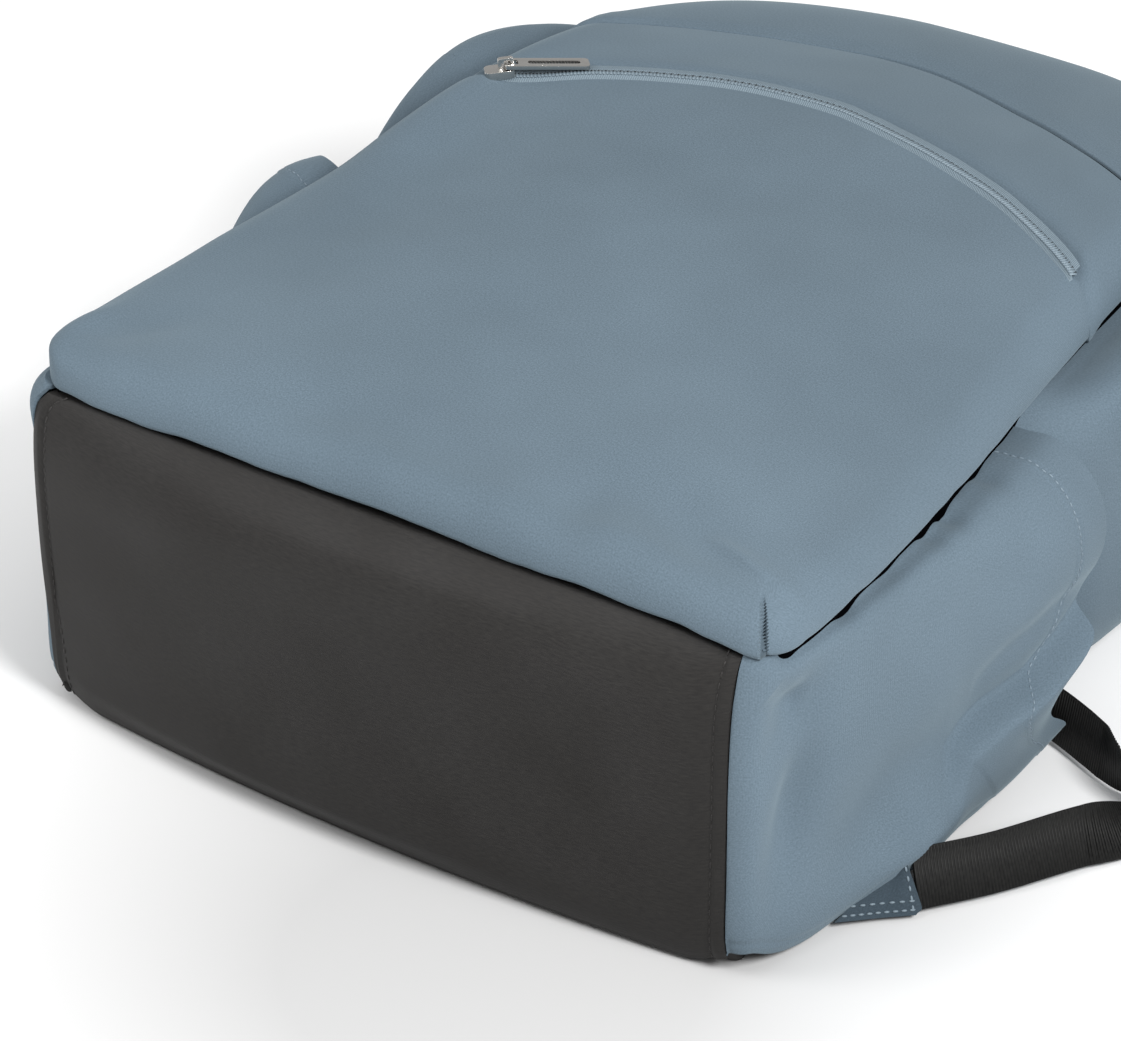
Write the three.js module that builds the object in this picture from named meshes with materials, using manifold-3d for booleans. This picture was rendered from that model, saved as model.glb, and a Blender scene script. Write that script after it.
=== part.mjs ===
// Laptop backpack lying on its back: base towards -Y, front upwards, straps splayed on the floor.
// Millimetres, +Z up. X runs across the bag, Y from its base to its top.
import * as THREE from "three";
import { mergeVertices } from "three/addons/utils/BufferGeometryUtils.js";
import Module from "manifold-3d";

// Thickness of the cloth walls and the clearance that neighbouring pieces keep at a seam
const CLOTH = 1.6;
const PADDED_CLOTH = 2;
const ZIP_TAPE = 1.2;
const WEBBING = 1.5;
const SEAM_GAP = 0.4;
const LIP_GAP = 1.9;

// Half-width of the charcoal base between its two side seams
const BASE_HALF = 134;

// Half-widths of the bag along its length: at the back seam, of the body wall and of the
// pocket over it at half depth, and at the front seam
const HALF_WIDTHS = [
  { y: 0, back: 140, body: 138, pocket: 141.5, front: 141 },
  { y: 18, back: 145, body: 141, pocket: 148, front: 146 },
  { y: 50, back: 149, body: 145, pocket: 154, front: 147 },
  { y: 90, back: 150, body: 148, pocket: 160.5, front: 144.5 },
  { y: 130, back: 149, body: 150, pocket: 164, front: 141 },
  { y: 165, back: 143, body: 151, pocket: 164, front: 137 },
  { y: 200, back: 135, body: 154, pocket: 162, front: 133.5 },
  { y: 240, back: 132, body: 158, pocket: 160, front: 130 },
  { y: 300, back: 130, body: 156, pocket: 158, front: 126 },
  { y: 340, back: 128, body: 148, pocket: 156, front: 122 },
];
// Plan outlines that go with those columns: low and high are the two ends of the bag,
// bow how far the base's middle stands out beyond its seams, corner and crest the radii of
// the base corners and the top corners, tuck the step inwards that clears the pocket, turn how
// sharply the wall turns in at the floor
const POCKET_OUTLINES = {
  back: { half: "back", low: -9, bow: 8, high: 424, corner: 7, crest: 92, tuck: 0, turn: 13 },
  middle: { half: "pocket", low: -13, bow: 10, high: 440, corner: 9, crest: 104, tuck: 0 },
  front: { half: "front", low: 4, bow: 0, high: 420, corner: 14, crest: 90, tuck: 0 },
};
const BODY_OUTLINES = {
  back: { half: "back", low: 9, bow: 0, high: 424, corner: 10, crest: 92, tuck: 4, turn: 5 },
  middle: { half: "body", low: 3, bow: 0, high: 440, corner: 12, crest: 104, tuck: 0 },
  front: { half: "front", low: 9, bow: 0, high: 419.5, corner: 14, crest: 89.5, tuck: 3 },
};
const TUCK_FOOT = 6.4;
const TUCK_SEAM = 2.6;
const BODY_GAP = 0.3;
// How sharply the band turns in at the front seam
const SHOULDER_TURN = 5;

// Height of the front seam above the floor along the bag
const FRONT_SEAM = [
  { y: 0, z: 119 },
  { y: 100, z: 120 },
  { y: 200, z: 123 },
  { y: 260, z: 125 },
  { y: 320, z: 121 },
  { y: 370, z: 110 },
  { y: 425, z: 90 },
];
// How far the front panels puff up above that seam, at their rolled edge and at the middle
const FRONT_PUFF = [
  { y: 0, edge: 16, crown: 4 },
  { y: 60, edge: 12, crown: 10 },
  { y: 120, edge: 12, crown: 12 },
  { y: 160, edge: 15, crown: 9 },
  { y: 200, edge: 18, crown: 6 },
  { y: 250, edge: 19, crown: 4 },
  { y: 290, edge: 18, crown: 4 },
  { y: 345, edge: 13, crown: 6 },
];
const EDGE_ROLL = { radius: 15, startAngle: THREE.MathUtils.degToRad(-30), share: 0.18 };
const LIP_SHARE = 0.12;

// Back seam: its height above the floor and the lift at the two base corners
const BACK_SEAM_Z = 2.6;
const CORNER_LIFT = 9;
const TOP_LIFT = 6.6;

// Curved front zip and the second seam above it
const ZIP_PEAK = 281;
const ZIP_DROP = 60;
const ZIP_HALF = 128;
const ZIP_BEND = { left: 2.2, right: 1.6 };
const ZIP_WIDTH = 9;
const ZIP_COIL_RISE = 0.8;
const ZIP_GAP = 0.9;
const BAND_WIDTH = 54;

// Side pocket mouths: their Y at each depth, which the rows call y, from the tip on the floor
// to the front seam. The left one stands further open.
const MOUTH = [
  { y: 0, left: 165, right: 165 },
  { y: 0.08, left: 160, right: 160 },
  { y: 0.2, left: 156, right: 148 },
  { y: 0.3, left: 182, right: 142 },
  { y: 0.42, left: 199, right: 163 },
  { y: 0.6, left: 201, right: 173 },
  { y: 0.82, left: 192, right: 170 },
  { y: 1, left: 173, right: 167 },
];
const MOUTH_FLARE = 5;
const FLARE_FROM = 95;

// Band over the top, with the main zip along it
const TOP_BAND_START = 262;
const MAIN_ZIP = { low: 0.66, high: 0.74 };

// Padded back
const BACK_PAD = { thickness: 8, round: 2.5, inset: 3.2 };

// Folds and dents. Each row is one: centre (a, b), heading of its length in degrees,
// half-length, half-width and depth (minus is a hollow). On a side a is Y and b is Z,
// on the front a is X and b is Y, on the base a is X and b is Z. Rows with a side are only there.
const SIDE_FOLDS = [
  { a: 128, b: 36, heading: 40, long: 44, wide: 9, depth: -4 },
  { a: 140, b: 54, heading: 42, long: 42, wide: 9, depth: 3 },
  { a: 20, b: 88, heading: 60, long: 22, wide: 12, depth: -3 },
  { a: 60, b: 44, heading: 12, long: 40, wide: 14, depth: -3 },
  { a: 112, b: 96, heading: -30, long: 26, wide: 10, depth: -3 },
  { a: 158, b: 22, heading: 0, long: 28, wide: 17, depth: -9 },
  { a: 168, b: 112, heading: 6, long: 36, wide: 12, depth: 26, side: -1 },
];
// Puffed shoulder of the body beside the front zip
const BODY_FOLDS = [{ a: 278, b: 117, heading: 0, long: 80, wide: 14, depth: 26 }];
const FRONT_FOLDS = [
  { a: 104, b: 24, heading: 150, long: 34, wide: 11, depth: -3.2 },
  { a: 60, b: 34, heading: 165, long: 50, wide: 14, depth: -1.6 },
  { a: -120, b: 30, heading: 60, long: 26, wide: 10, depth: -1.6 },
  { a: 10, b: 150, heading: 95, long: 110, wide: 60, depth: -2.2 },
];
const BASE_FOLDS = [
  { a: -70, b: 98, heading: 8, long: 60, wide: 10, depth: 1.4 },
  { a: -40, b: 14, heading: 0, long: 90, wide: 30, depth: 5 },
];
// Darts that box the two lower corners of the front panel
const DART = { x: 131, wide: 5, long: 30, depth: 2.4 };

// Straps. Rows run along the centre line: side is the heading of the band's right edge in
// degrees, lean how far that edge dips, width is across the band.
const WEBBING_WIDTH = 20;
const STRAP_HEADING = 61.3;
const ADJUSTER = { x: 215, y: 162, length: 26, width: 31, thickness: 2.8, bottom: 4.4, corner: 3 };
const ADJUSTER_BAR = 4;
const ADJUSTER_SLOT = 7;
const WEBBING_RUN = [
  { x: 167, y: 62, z: 12.4, side: -29, lean: 58 },
  { x: 181.6, y: 93, z: 11.3, side: -29, lean: 58 },
  { x: 196, y: 121, z: 8.5, side: -29, lean: 44 },
  { x: 206, y: 141, z: 3.6, side: -29, lean: 14 },
];
const WEBBING_TAIL = [
  { x: 207.5, y: 152, z: 5.6, side: -34, lean: -12 },
  { x: 198, y: 149, z: 9.6, side: -62, lean: -50 },
  { x: 188, y: 153, z: 11.6, side: -102, lean: -82 },
  { x: 179, y: 158.5, z: 11.6, side: -118, lean: -98 },
  { x: 170, y: 163, z: 11.6, side: -116, lean: -100 },
  { x: 161, y: 167, z: 11.6, side: -112, lean: -100 },
  { x: 153, y: 170, z: 11.6, side: -110, lean: -100 },
];
const TAB = { thickness: 2.2, gap: 2.4, bow: 3 };
const TAB_SEAM = { low: { x: 149.6, y: 38 }, high: { x: 153.4, y: 60 }, z: 3.5 };
const SHOULDER_STRAP = { width: 62, thickness: 10, sewnThickness: 4.4 };
const SHOULDER_RUN = [
  { x: 228.25, y: 186.4, swell: 0.5 },
  { x: 238, y: 210, swell: 0.9 },
  { x: 244, y: 256, swell: 1 },
  { x: 243, y: 302, swell: 1 },
  { x: 233, y: 348, swell: 1 },
  { x: 210, y: 390, swell: 1 },
  { x: 174, y: 419, swell: 0.95 },
  { x: 139, y: 424, swell: 0.9 },
  { x: 114, y: 411, swell: 0.85 },
];
const HANDLE = { half: 46, reach: 24, width: 25, thickness: 3, z: 26, sink: 0.5 };

// Front zip slider and pull, and the plain slider of the main zip
const SLIDER = { length: 11, width: 7, thickness: 3, place: -0.81, lift: 0.5 };
const BRIDGE = { length: 5.8, width: 2, opening: 3.2, height: 3.9, clear: 2.8, ahead: 2.4 };
const PULL = { length: 31, width: 7, thickness: 1.4, bar: 1.5, eyeLength: 3.6, eyeWidth: 3.4 };
const PULL_SLOT = { start: 8, end: 27, width: 2.4 };
const MAIN_SLIDER = { start: -5.5, end: 26, width: 7.2, thickness: 3, lift: 0.8 };
const PULL_DIP = THREE.MathUtils.degToRad(8);

const COLOURS = {
  cloth: { color: "#7a8d9b", roughness: 0.85, metalness: 0 },
  base: { color: "#3c3b3a", roughness: 0.6, metalness: 0 },
  webbing: { color: "#353535", roughness: 0.8, metalness: 0 },
  tape: { color: "#8b9da9", roughness: 0.8, metalness: 0 },
  pad: { color: "#3a3c3f", roughness: 0.9, metalness: 0 },
  plastic: { color: "#26272a", roughness: 0.45, metalness: 0 },
  metal: { color: "#c9c9c7", roughness: 0.22, metalness: 1 },
};

const wasm = await Module();
wasm.setup();

const radians = THREE.MathUtils.degToRad;
const lerp = THREE.MathUtils.lerp;
const smooth = THREE.MathUtils.smoothstep;

// Smooth value of one column of a table whose rows are ordered by y
function column(rows, name, y) {
  const last = rows.length - 1;
  const at = THREE.MathUtils.clamp(y, rows[0].y, rows[last].y);
  let i = 0;
  while (i < last - 1 && at > rows[i + 1].y) i += 1;
  const slope = (j) => {
    const a = rows[Math.max(j - 1, 0)];
    const b = rows[Math.min(j + 1, last)];
    return (b[name] - a[name]) / (b.y - a.y);
  };
  const span = rows[i + 1].y - rows[i].y;
  const t = (at - rows[i].y) / span;
  const rise = rows[i + 1][name] - rows[i][name];
  const curve = (1 - t) * (slope(i) * span - rise) - t * (slope(i + 1) * span - rise);
  return rows[i][name] + rise * t + t * (1 - t) * curve;
}

// Sum of the folds at a place on a panel
function foldDepth(folds, a, b, side = 0) {
  let depth = 0;
  for (const fold of folds) {
    if (fold.side && fold.side !== side) continue;
    const turn = radians(fold.heading);
    const along = (a - fold.a) * Math.cos(turn) + (b - fold.b) * Math.sin(turn);
    const across = (b - fold.b) * Math.cos(turn) - (a - fold.a) * Math.sin(turn);
    depth += fold.depth * Math.exp(-((along / fold.long) ** 2) - (across / fold.wide) ** 2);
  }
  return depth;
}

// Point of a plan outline. Stations 0 to 5 run from the middle of the base up the right side
// to the middle of the top: half the base, base corner, side, top corner, half the top.
// Stations 5 to 10 come back down the left side.
function outlinePoint(station, o) {
  const mirrored = station > 5;
  const t = mirrored ? 10 - station : station;
  const sideStart = o.low + o.bow + o.corner;
  const sideEnd = o.high - o.crest;
  const crestStart = o.half(sideEnd) - o.crest;
  let x;
  let y;
  if (t <= 1) {
    x = t * BASE_HALF;
    y = o.low + o.bow * t * t;
  } else if (t <= 2) {
    const turn = ((t - 1) * Math.PI) / 2;
    x = lerp(BASE_HALF, o.half(sideStart), Math.sin(turn));
    y = sideStart - o.corner * Math.cos(turn);
  } else if (t <= 3) {
    y = lerp(sideStart, sideEnd, t - 2);
    x = o.half(y);
  } else if (t <= 4) {
    const turn = ((t - 3) * Math.PI) / 2;
    x = crestStart + o.crest * Math.cos(turn);
    y = sideEnd + o.crest * Math.sin(turn);
  } else {
    x = crestStart * (5 - t);
    y = o.high;
  }
  return new THREE.Vector2(mirrored ? -x : x, y);
}

// Station on the right side of an outline at a given Y
function stationAt(y, o) {
  const start = o.low + o.bow + o.corner;
  return 2 + (y - start) / (o.high - o.crest - start);
}

// Share of the step inwards that clears the pocket: whole behind it, none above its mouth
const tuckAt = (y) => 1 - smooth(y, 176, 214);

// Outline at depth v, from the back seam at 0 to the front seam at 1
function outlineAtDepth(outlines, v) {
  const toBack = Math.max(0, 1 - 2 * v) ** outlines.back.turn;
  const toFront = Math.max(0, 2 * v - 1) ** SHOULDER_TURN;
  const { back, middle, front } = outlines;
  const mix = (a, b, c) => b + (a - b) * toBack + (c - b) * toFront;
  const half = (o, y) => column(HALF_WIDTHS, o.half, y) - o.tuck * tuckAt(y);
  return {
    low: mix(back.low, middle.low, front.low),
    bow: mix(back.bow, middle.bow, front.bow),
    high: mix(back.high, middle.high, front.high),
    corner: mix(back.corner, middle.corner, front.corner),
    crest: mix(back.crest, middle.crest, front.crest),
    half: (y) => mix(half(back, y), half(middle, y), half(front, y)),
  };
}

const frontSeamZ = (y) => column(FRONT_SEAM, "z", y);

function backSeamZ(station) {
  const t = station > 5 ? 10 - station : station;
  const corner = CORNER_LIFT * Math.exp(-(((t - 1.2) / 0.25) ** 2));
  return BACK_SEAM_Z + corner + TOP_LIFT * smooth(t, 2.7, 3.2);
}

// Point of the outer band: base and side pockets
function pocketPoint(station, v) {
  const flat = outlinePoint(station, outlineAtDepth(POCKET_OUTLINES, v));
  return new THREE.Vector3(flat.x, flat.y, lerp(backSeamZ(station), frontSeamZ(flat.y), v));
}

// Point of the body wall, which stands inside the pockets and reaches the seams above them
function bodyPoint(station, v) {
  const flat = outlinePoint(station, outlineAtDepth(BODY_OUTLINES, v));
  const tuck = tuckAt(flat.y);
  const low = backSeamZ(station) + BODY_GAP + TUCK_FOOT * tuck;
  const high = frontSeamZ(flat.y) - BODY_GAP - TUCK_SEAM * tuck;
  return new THREE.Vector3(flat.x, flat.y, lerp(low, high, v));
}

// Edge of the front panels: cloth rolls out over its seam, up and in.
// place is -1 to 1 across the panel, the result its inset from the seam and its lift, 0 to 1.
function rolledEdge(place, half) {
  const { radius, startAngle, share } = EDGE_ROLL;
  const inside = 1 - Math.abs(place);
  const reach = radius * Math.cos(startAngle);
  if (inside >= share) {
    const inset = lerp(reach, half, (inside - share) / (1 - share));
    return { inset, lift: 1 };
  }
  const angle = lerp(startAngle, Math.PI / 2, inside / share);
  const lift = (Math.sin(angle) - Math.sin(startAngle)) / (1 - Math.sin(startAngle));
  return { inset: radius * (Math.cos(startAngle) - Math.cos(angle)), lift };
}

// Half-width of the front seam at a given Y
const FRONT_OUTLINE = outlineAtDepth(POCKET_OUTLINES, 1);

function frontHalf(y) {
  const o = FRONT_OUTLINE;
  const sideStart = o.low + o.bow + o.corner;
  if (y >= sideStart) return o.half(y);
  const turn = Math.acos(THREE.MathUtils.clamp((sideStart - y) / o.corner, 0, 1));
  return lerp(BASE_HALF, o.half(sideStart), Math.sin(turn));
}

const zipY = (x) => ZIP_PEAK - ZIP_DROP * Math.abs(x / ZIP_HALF) ** (x < 0 ? ZIP_BEND.left : ZIP_BEND.right);

// Point of the front skin at a place across it, -1 to 1, at a given Y and base lift
function frontSkin(place, y, baseLift = 1) {
  const half = frontHalf(y);
  const edge = rolledEdge(place, half);
  const flatInset = half * (1 - Math.abs(place));
  const x = Math.sign(place) * (half - lerp(flatInset, edge.inset, baseLift));
  const puff = column(FRONT_PUFF, "edge", y) * edge.lift;
  const crown = column(FRONT_PUFF, "crown", y) * (1 - place * place);
  const fold = foldDepth(FRONT_FOLDS, x, y) * edge.lift;
  return new THREE.Vector3(x, y, frontSeamZ(y) + LIP_GAP + (puff + crown + fold) * baseLift);
}

// Place across the front where a line Y(x) crosses the skin
function skinOnLine(place, lineY) {
  let y = lineY(place * ZIP_HALF);
  for (let step = 0; step < 4; step += 1) {
    y = lineY(frontSkin(place, y).x);
  }
  return frontSkin(place, y);
}

// Geometry from points and triangles, wound so that its faces point out
function closedGeometry(points, triangles) {
  let volume = 0;
  for (const [a, b, c] of triangles) {
    volume += points[a].dot(new THREE.Vector3().crossVectors(points[b], points[c]));
  }
  const index = triangles.flatMap(([a, b, c]) => (volume > 0 ? [a, b, c] : [a, c, b]));
  const geometry = new THREE.BufferGeometry().setFromPoints(points);
  geometry.setIndex(index);
  geometry.computeVertexNormals();
  return geometry;
}

// Outward direction at each point of a grid whose rows run along the cloth
function gridNormals(rows) {
  const last = rows.length - 1;
  return rows.map((row, i) =>
    row.map((_, j) => {
      const up = rows[Math.min(i + 1, last)][j].clone().sub(rows[Math.max(i - 1, 0)][j]);
      const over = row[Math.min(j + 1, row.length - 1)].clone().sub(row[Math.max(j - 1, 0)]);
      return over.cross(up).normalize();
    }),
  );
}

// Grid moved in or out along its own surface
function foldedGrid(rows, depthAt) {
  const normals = gridNormals(rows);
  return rows.map((row, i) =>
    row.map((p, j) => p.clone().addScaledVector(normals[i][j], depthAt(p, i))),
  );
}

// Wall of cloth: a grid of points on its outer face, thickened inwards and closed at its rim
function clothWall(rows, thickness) {
  const height = rows.length;
  const width = rows[0].length;
  const normals = gridNormals(rows);
  const outer = rows.flat();
  const inner = rows.flatMap((row, i) =>
    row.map((p, j) => p.clone().addScaledVector(normals[i][j], -thickness)),
  );
  const at = (i, j) => i * width + j;
  const behind = outer.length;
  const triangles = [];
  const quad = (a, b, c, d) => triangles.push([a, b, c], [a, c, d]);
  for (let i = 0; i < height - 1; i += 1) {
    for (let j = 0; j < width - 1; j += 1) {
      const corners = [at(i, j), at(i, j + 1), at(i + 1, j + 1), at(i + 1, j)];
      quad(...corners);
      quad(...corners.map((k) => k + behind).reverse());
    }
  }
  const rim = [];
  for (let j = 0; j < width - 1; j += 1) rim.push(at(0, j));
  for (let i = 0; i < height - 1; i += 1) rim.push(at(i, width - 1));
  for (let j = width - 1; j > 0; j -= 1) rim.push(at(height - 1, j));
  for (let i = height - 1; i > 0; i -= 1) rim.push(at(i, 0));
  rim.forEach((a, k) => {
    const b = rim[(k + 1) % rim.length];
    quad(a, a + behind, b + behind, b);
  });
  return closedGeometry([...outer, ...inner], triangles);
}

// Solid through rings of equal length, capped at both ends
function ringSolid(rings) {
  const points = rings.flat();
  const sides = rings[0].length;
  const triangles = [];
  for (let i = 0; i < rings.length - 1; i += 1) {
    for (let j = 0; j < sides; j += 1) {
      const next = (j + 1) % sides;
      const [a, b] = [i * sides + j, i * sides + next];
      triangles.push([a, b, b + sides], [a, b + sides, a + sides]);
    }
  }
  const last = (rings.length - 1) * sides;
  for (let j = 1; j < sides - 1; j += 1) {
    triangles.push([0, j + 1, j], [last, last + j, last + j + 1]);
  }
  return closedGeometry(points, triangles);
}

const steps = (count) => Array.from({ length: count + 1 }, (_, i) => i / count);
const between = (from, to, count) => steps(count).map((t) => lerp(from, to, t));

const group = new THREE.Group();

function addMesh(name, geometry, look) {
  const mesh = new THREE.Mesh(geometry, new THREE.MeshStandardMaterial(COLOURS[look]));
  mesh.name = name;
  group.add(mesh);
  return mesh;
}

// Solids joined or cut by manifold, from and back to a buffer geometry
function toSolid(geometry) {
  const bare = geometry.clone();
  bare.deleteAttribute("normal");
  bare.deleteAttribute("uv");
  const merged = mergeVertices(bare, 1e-4);
  const vertProperties = new Float32Array(merged.attributes.position.array);
  const triVerts = new Uint32Array(merged.index.array);
  return new wasm.Manifold(new wasm.Mesh({ numProp: 3, vertProperties, triVerts }));
}

function fromSolid(solid) {
  const mesh = solid.getMesh();
  const geometry = new THREE.BufferGeometry();
  geometry.setAttribute("position", new THREE.BufferAttribute(mesh.vertProperties, 3));
  geometry.setIndex(new THREE.BufferAttribute(mesh.triVerts, 1));
  geometry.computeVertexNormals();
  return geometry;
}

// Depths at which the band round the bag is cut into rows, closer at the foot and the shoulder
const DEPTHS = [0, 0.03, 0.07, 0.14, 0.28, 0.45, 0.62, 0.78, 0.88, 0.95, 1];
const BODY_DEPTHS = [0, 0.05, 0.13, 0.28, 0.62, 0.8, 0.88, 0.95, 1];

// Base: charcoal panel between the two side seams
function basePanel() {
  const rows = DEPTHS.map((v) =>
    between(-1, 1, 12).map((place) => {
      const p = pocketPoint(place < 0 ? 10 + place : place, v);
      p.x *= (BASE_HALF - SEAM_GAP) / BASE_HALF;
      return p;
    }),
  );
  const fade = (p, i) => Math.sin(Math.PI * DEPTHS[i]) ** 0.25 * (1 - Math.abs(p.x / BASE_HALF) ** 6);
  const folded = foldedGrid(rows, (p, i) => foldDepth(BASE_FOLDS, p.x, p.z) * fade(p, i));
  return clothWall(folded, PADDED_CLOTH);
}

// Side pocket: wraps the base corner and opens at its mouth
const mouthY = (v, side) => column(MOUTH, side < 0 ? "left" : "right", v);

function sidePocket(side) {
  const alongSteps = [...between(1.03, 2, 5), ...between(2, 3, 14).slice(1)];
  const rows = DEPTHS.map((v) =>
    alongSteps.map((along) => {
      const o = outlineAtDepth(POCKET_OUTLINES, v);
      const station = along <= 2 ? along : lerp(2, stationAt(mouthY(v, side), o), along - 2);
      return pocketPoint(station, v);
    }),
  );
  const folded = foldedGrid(rows, (p, i) => {
    const flare = MOUTH_FLARE * smooth(p.y, FLARE_FROM, mouthY(DEPTHS[i], side));
    return (flare + foldDepth(SIDE_FOLDS, p.y, p.z, side)) * Math.sin(Math.PI * DEPTHS[i]) ** 0.5;
  });
  return clothWall(mirrorGrid(folded, side), CLOTH);
}

// Left-hand copy of a right-hand grid
function mirrorGrid(rows, side) {
  if (side > 0) return rows;
  return rows.map((row) => row.map((p) => new THREE.Vector3(-p.x, p.y, p.z)).reverse());
}

// Body wall behind the pocket, up to the zipped band
function sidePanel(side) {
  const rows = BODY_DEPTHS.map((v) =>
    [...between(1.03, 2, 4), ...between(2, 3, 12).slice(1)].map((along) => {
      const o = outlineAtDepth(BODY_OUTLINES, v);
      const station = along <= 2 ? along : lerp(2, stationAt(TOP_BAND_START - SEAM_GAP, o), along - 2);
      return bodyPoint(station, v);
    }),
  );
  return clothWall(mirrorGrid(bodyFolded(rows, BODY_DEPTHS), side), PADDED_CLOTH);
}

// Body grid with its puffed shoulder, which fades out at the front seam and under the pocket
function bodyFolded(rows, depths) {
  return foldedGrid(rows, (p, i) => {
    const fade = (1 - smooth(depths[i], 0.95, 1)) * (1 - tuckAt(p.y));
    return foldDepth(BODY_FOLDS, p.y, p.z) * fade;
  });
}

// Front panel: boxed lip over the base, rolled sides, up to the zip
const ACROSS = (() => {
  const edge = between(0, EDGE_ROLL.share, 4);
  const field = between(EDGE_ROLL.share, 1, 7).slice(1);
  const half = [...edge, ...field].map((inside) => 1 - inside);
  return [...half.map((place) => -place), ...half.slice(0, -1).reverse()];
})();

function frontPocketPanel() {
  const { radius, startAngle } = EDGE_ROLL;
  const low = FRONT_OUTLINE.low;
  const upward = [...between(0, LIP_SHARE, 5), ...between(LIP_SHARE, 1, 11).slice(1)];
  const rows = upward.map((up) =>
    ACROSS.map((place) => {
      const angle = lerp(startAngle, Math.PI / 2, Math.min(up / LIP_SHARE, 1));
      const lift = (Math.sin(angle) - Math.sin(startAngle)) / (1 - Math.sin(startAngle));
      const inset = radius * (Math.cos(startAngle) - Math.cos(angle));
      const top = skinOnLine(place, (x) => zipY(x) - ZIP_WIDTH / 2).y;
      const y = lerp(low + inset, top, Math.max(0, (up - LIP_SHARE) / (1 - LIP_SHARE)));
      const p = frontSkin(place, y, lift);
      const across = (Math.abs(p.x) - DART.x) / DART.wide;
      const dart = Math.exp(-(across ** 2) - (y / DART.long) ** 2);
      p.z -= DART.depth * dart * lift;
      return p;
    }),
  );
  return clothWall(rows, CLOTH);
}

// Strip of front skin between two lines Y(x)
function frontStrip(fromY, toY, shares, thickness, sink) {
  const rows = shares.map((t) =>
    ACROSS.map((place) => {
      const p = skinOnLine(place, (x) => lerp(fromY(x), toY(x), t));
      p.z -= sink(t);
      return p;
    }),
  );
  return clothWall(rows, thickness);
}

const seamY = (x) => zipY(x) + BAND_WIDTH;

function frontZip() {
  const half = ZIP_WIDTH / 2 - ZIP_GAP;
  const sink = (t) => 0.9 - ZIP_COIL_RISE * smooth(0.5 - Math.abs(t - 0.5), 0.1, 0.2);
  return frontStrip((x) => zipY(x) - half, (x) => zipY(x) + half, [0, 0.3, 0.7, 1], ZIP_TAPE, sink);
}

function frontBandPanel() {
  const start = ZIP_WIDTH / 2;
  return frontStrip((x) => zipY(x) + start, (x) => seamY(x) - SEAM_GAP / 2, steps(4), CLOTH, () => 0);
}

// Front above the second seam: a crescent between that seam and the front outline of the top
function frontTopPanel() {
  const o = FRONT_OUTLINE;
  const start = stationAt(skinOnLine(1, seamY).y + 4, o);
  const samples = between(start, 5, 120).map((station) => outlinePoint(station, o));
  const lengths = [0];
  for (let i = 1; i < samples.length; i += 1) {
    lengths.push(lengths[i - 1] + samples[i].distanceTo(samples[i - 1]));
  }
  const outerAt = (share) => {
    const target = share * lengths[lengths.length - 1];
    let i = 1;
    while (i < lengths.length - 1 && lengths[i] < target) i += 1;
    const t = (target - lengths[i - 1]) / (lengths[i] - lengths[i - 1]);
    return samples[i - 1].clone().lerp(samples[i], t);
  };
  const places = between(-1, 1, 22);
  const rows = [0, 0.3, 0.55, 0.75, 0.9, 0.97, 1].map((t) =>
    places.map((place) => {
      const lower = skinOnLine(place, (x) => seamY(x) + SEAM_GAP / 2);
      const outer = outerAt(1 - Math.abs(place));
      const x = lerp(lower.x, Math.sign(place) * outer.x, t);
      const y = lerp(lower.y, outer.y, t);
      const rim = frontSeamZ(outer.y) + SEAM_GAP;
      return new THREE.Vector3(x, y, rim + (lower.z - rim) * Math.sqrt(1 - t ** 2.3));
    }),
  );
  return clothWall(rows, CLOTH);
}

// Zipped band over the top, between two depths
function topBand(depths, thickness) {
  const half = [...between(0, 1, 3), ...between(1, 2, 9).slice(1), ...between(2, 3, 2).slice(1)];
  const rows = depths.map((v) => {
    const o = outlineAtDepth(BODY_OUTLINES, v);
    const start = stationAt(TOP_BAND_START, o);
    const right = half.map((t) => (t < 1 ? lerp(start, 3, t) : t + 2));
    const stations = [...right, ...right.slice(0, -1).reverse().map((t) => 10 - t)];
    return stations.map((station) => bodyPoint(station, v));
  });
  return clothWall(bodyFolded(rows, depths), thickness);
}

// Padded back on the floor
function backOutline(inset) {
  const back = outlineAtDepth(POCKET_OUTLINES, 0);
  return { ...back, low: back.low + inset, high: back.high - inset, half: (y) => back.half(y) - inset };
}

function backPanel() {
  const o = backOutline(BACK_PAD.inset);
  const counts = [3, 4, 7, 9];
  const half = [0, ...counts.flatMap((count, leg) => between(leg, leg + 1, count).slice(1))];
  const stations = [...half, ...half.slice(1).reverse().map((s) => 10 - s)];
  const shape = new THREE.Shape(stations.map((s) => outlinePoint(s, o)));
  const geometry = new THREE.ExtrudeGeometry(shape, {
    depth: BACK_PAD.thickness - 2 * BACK_PAD.round,
    bevelThickness: BACK_PAD.round,
    bevelSize: BACK_PAD.round,
    bevelOffset: -BACK_PAD.round,
    bevelSegments: 2,
  });
  geometry.translate(0, 0, BACK_PAD.round);
  return geometry;
}

// Direction of a band's right edge, which heads along the side angle and dips by the lean
function edgeDirection(sideAngle, leanAngle) {
  const side = radians(sideAngle);
  const lean = radians(leanAngle);
  const flat = Math.cos(lean);
  return new THREE.Vector3(Math.cos(side) * flat, Math.sin(side) * flat, -Math.sin(lean));
}

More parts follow.
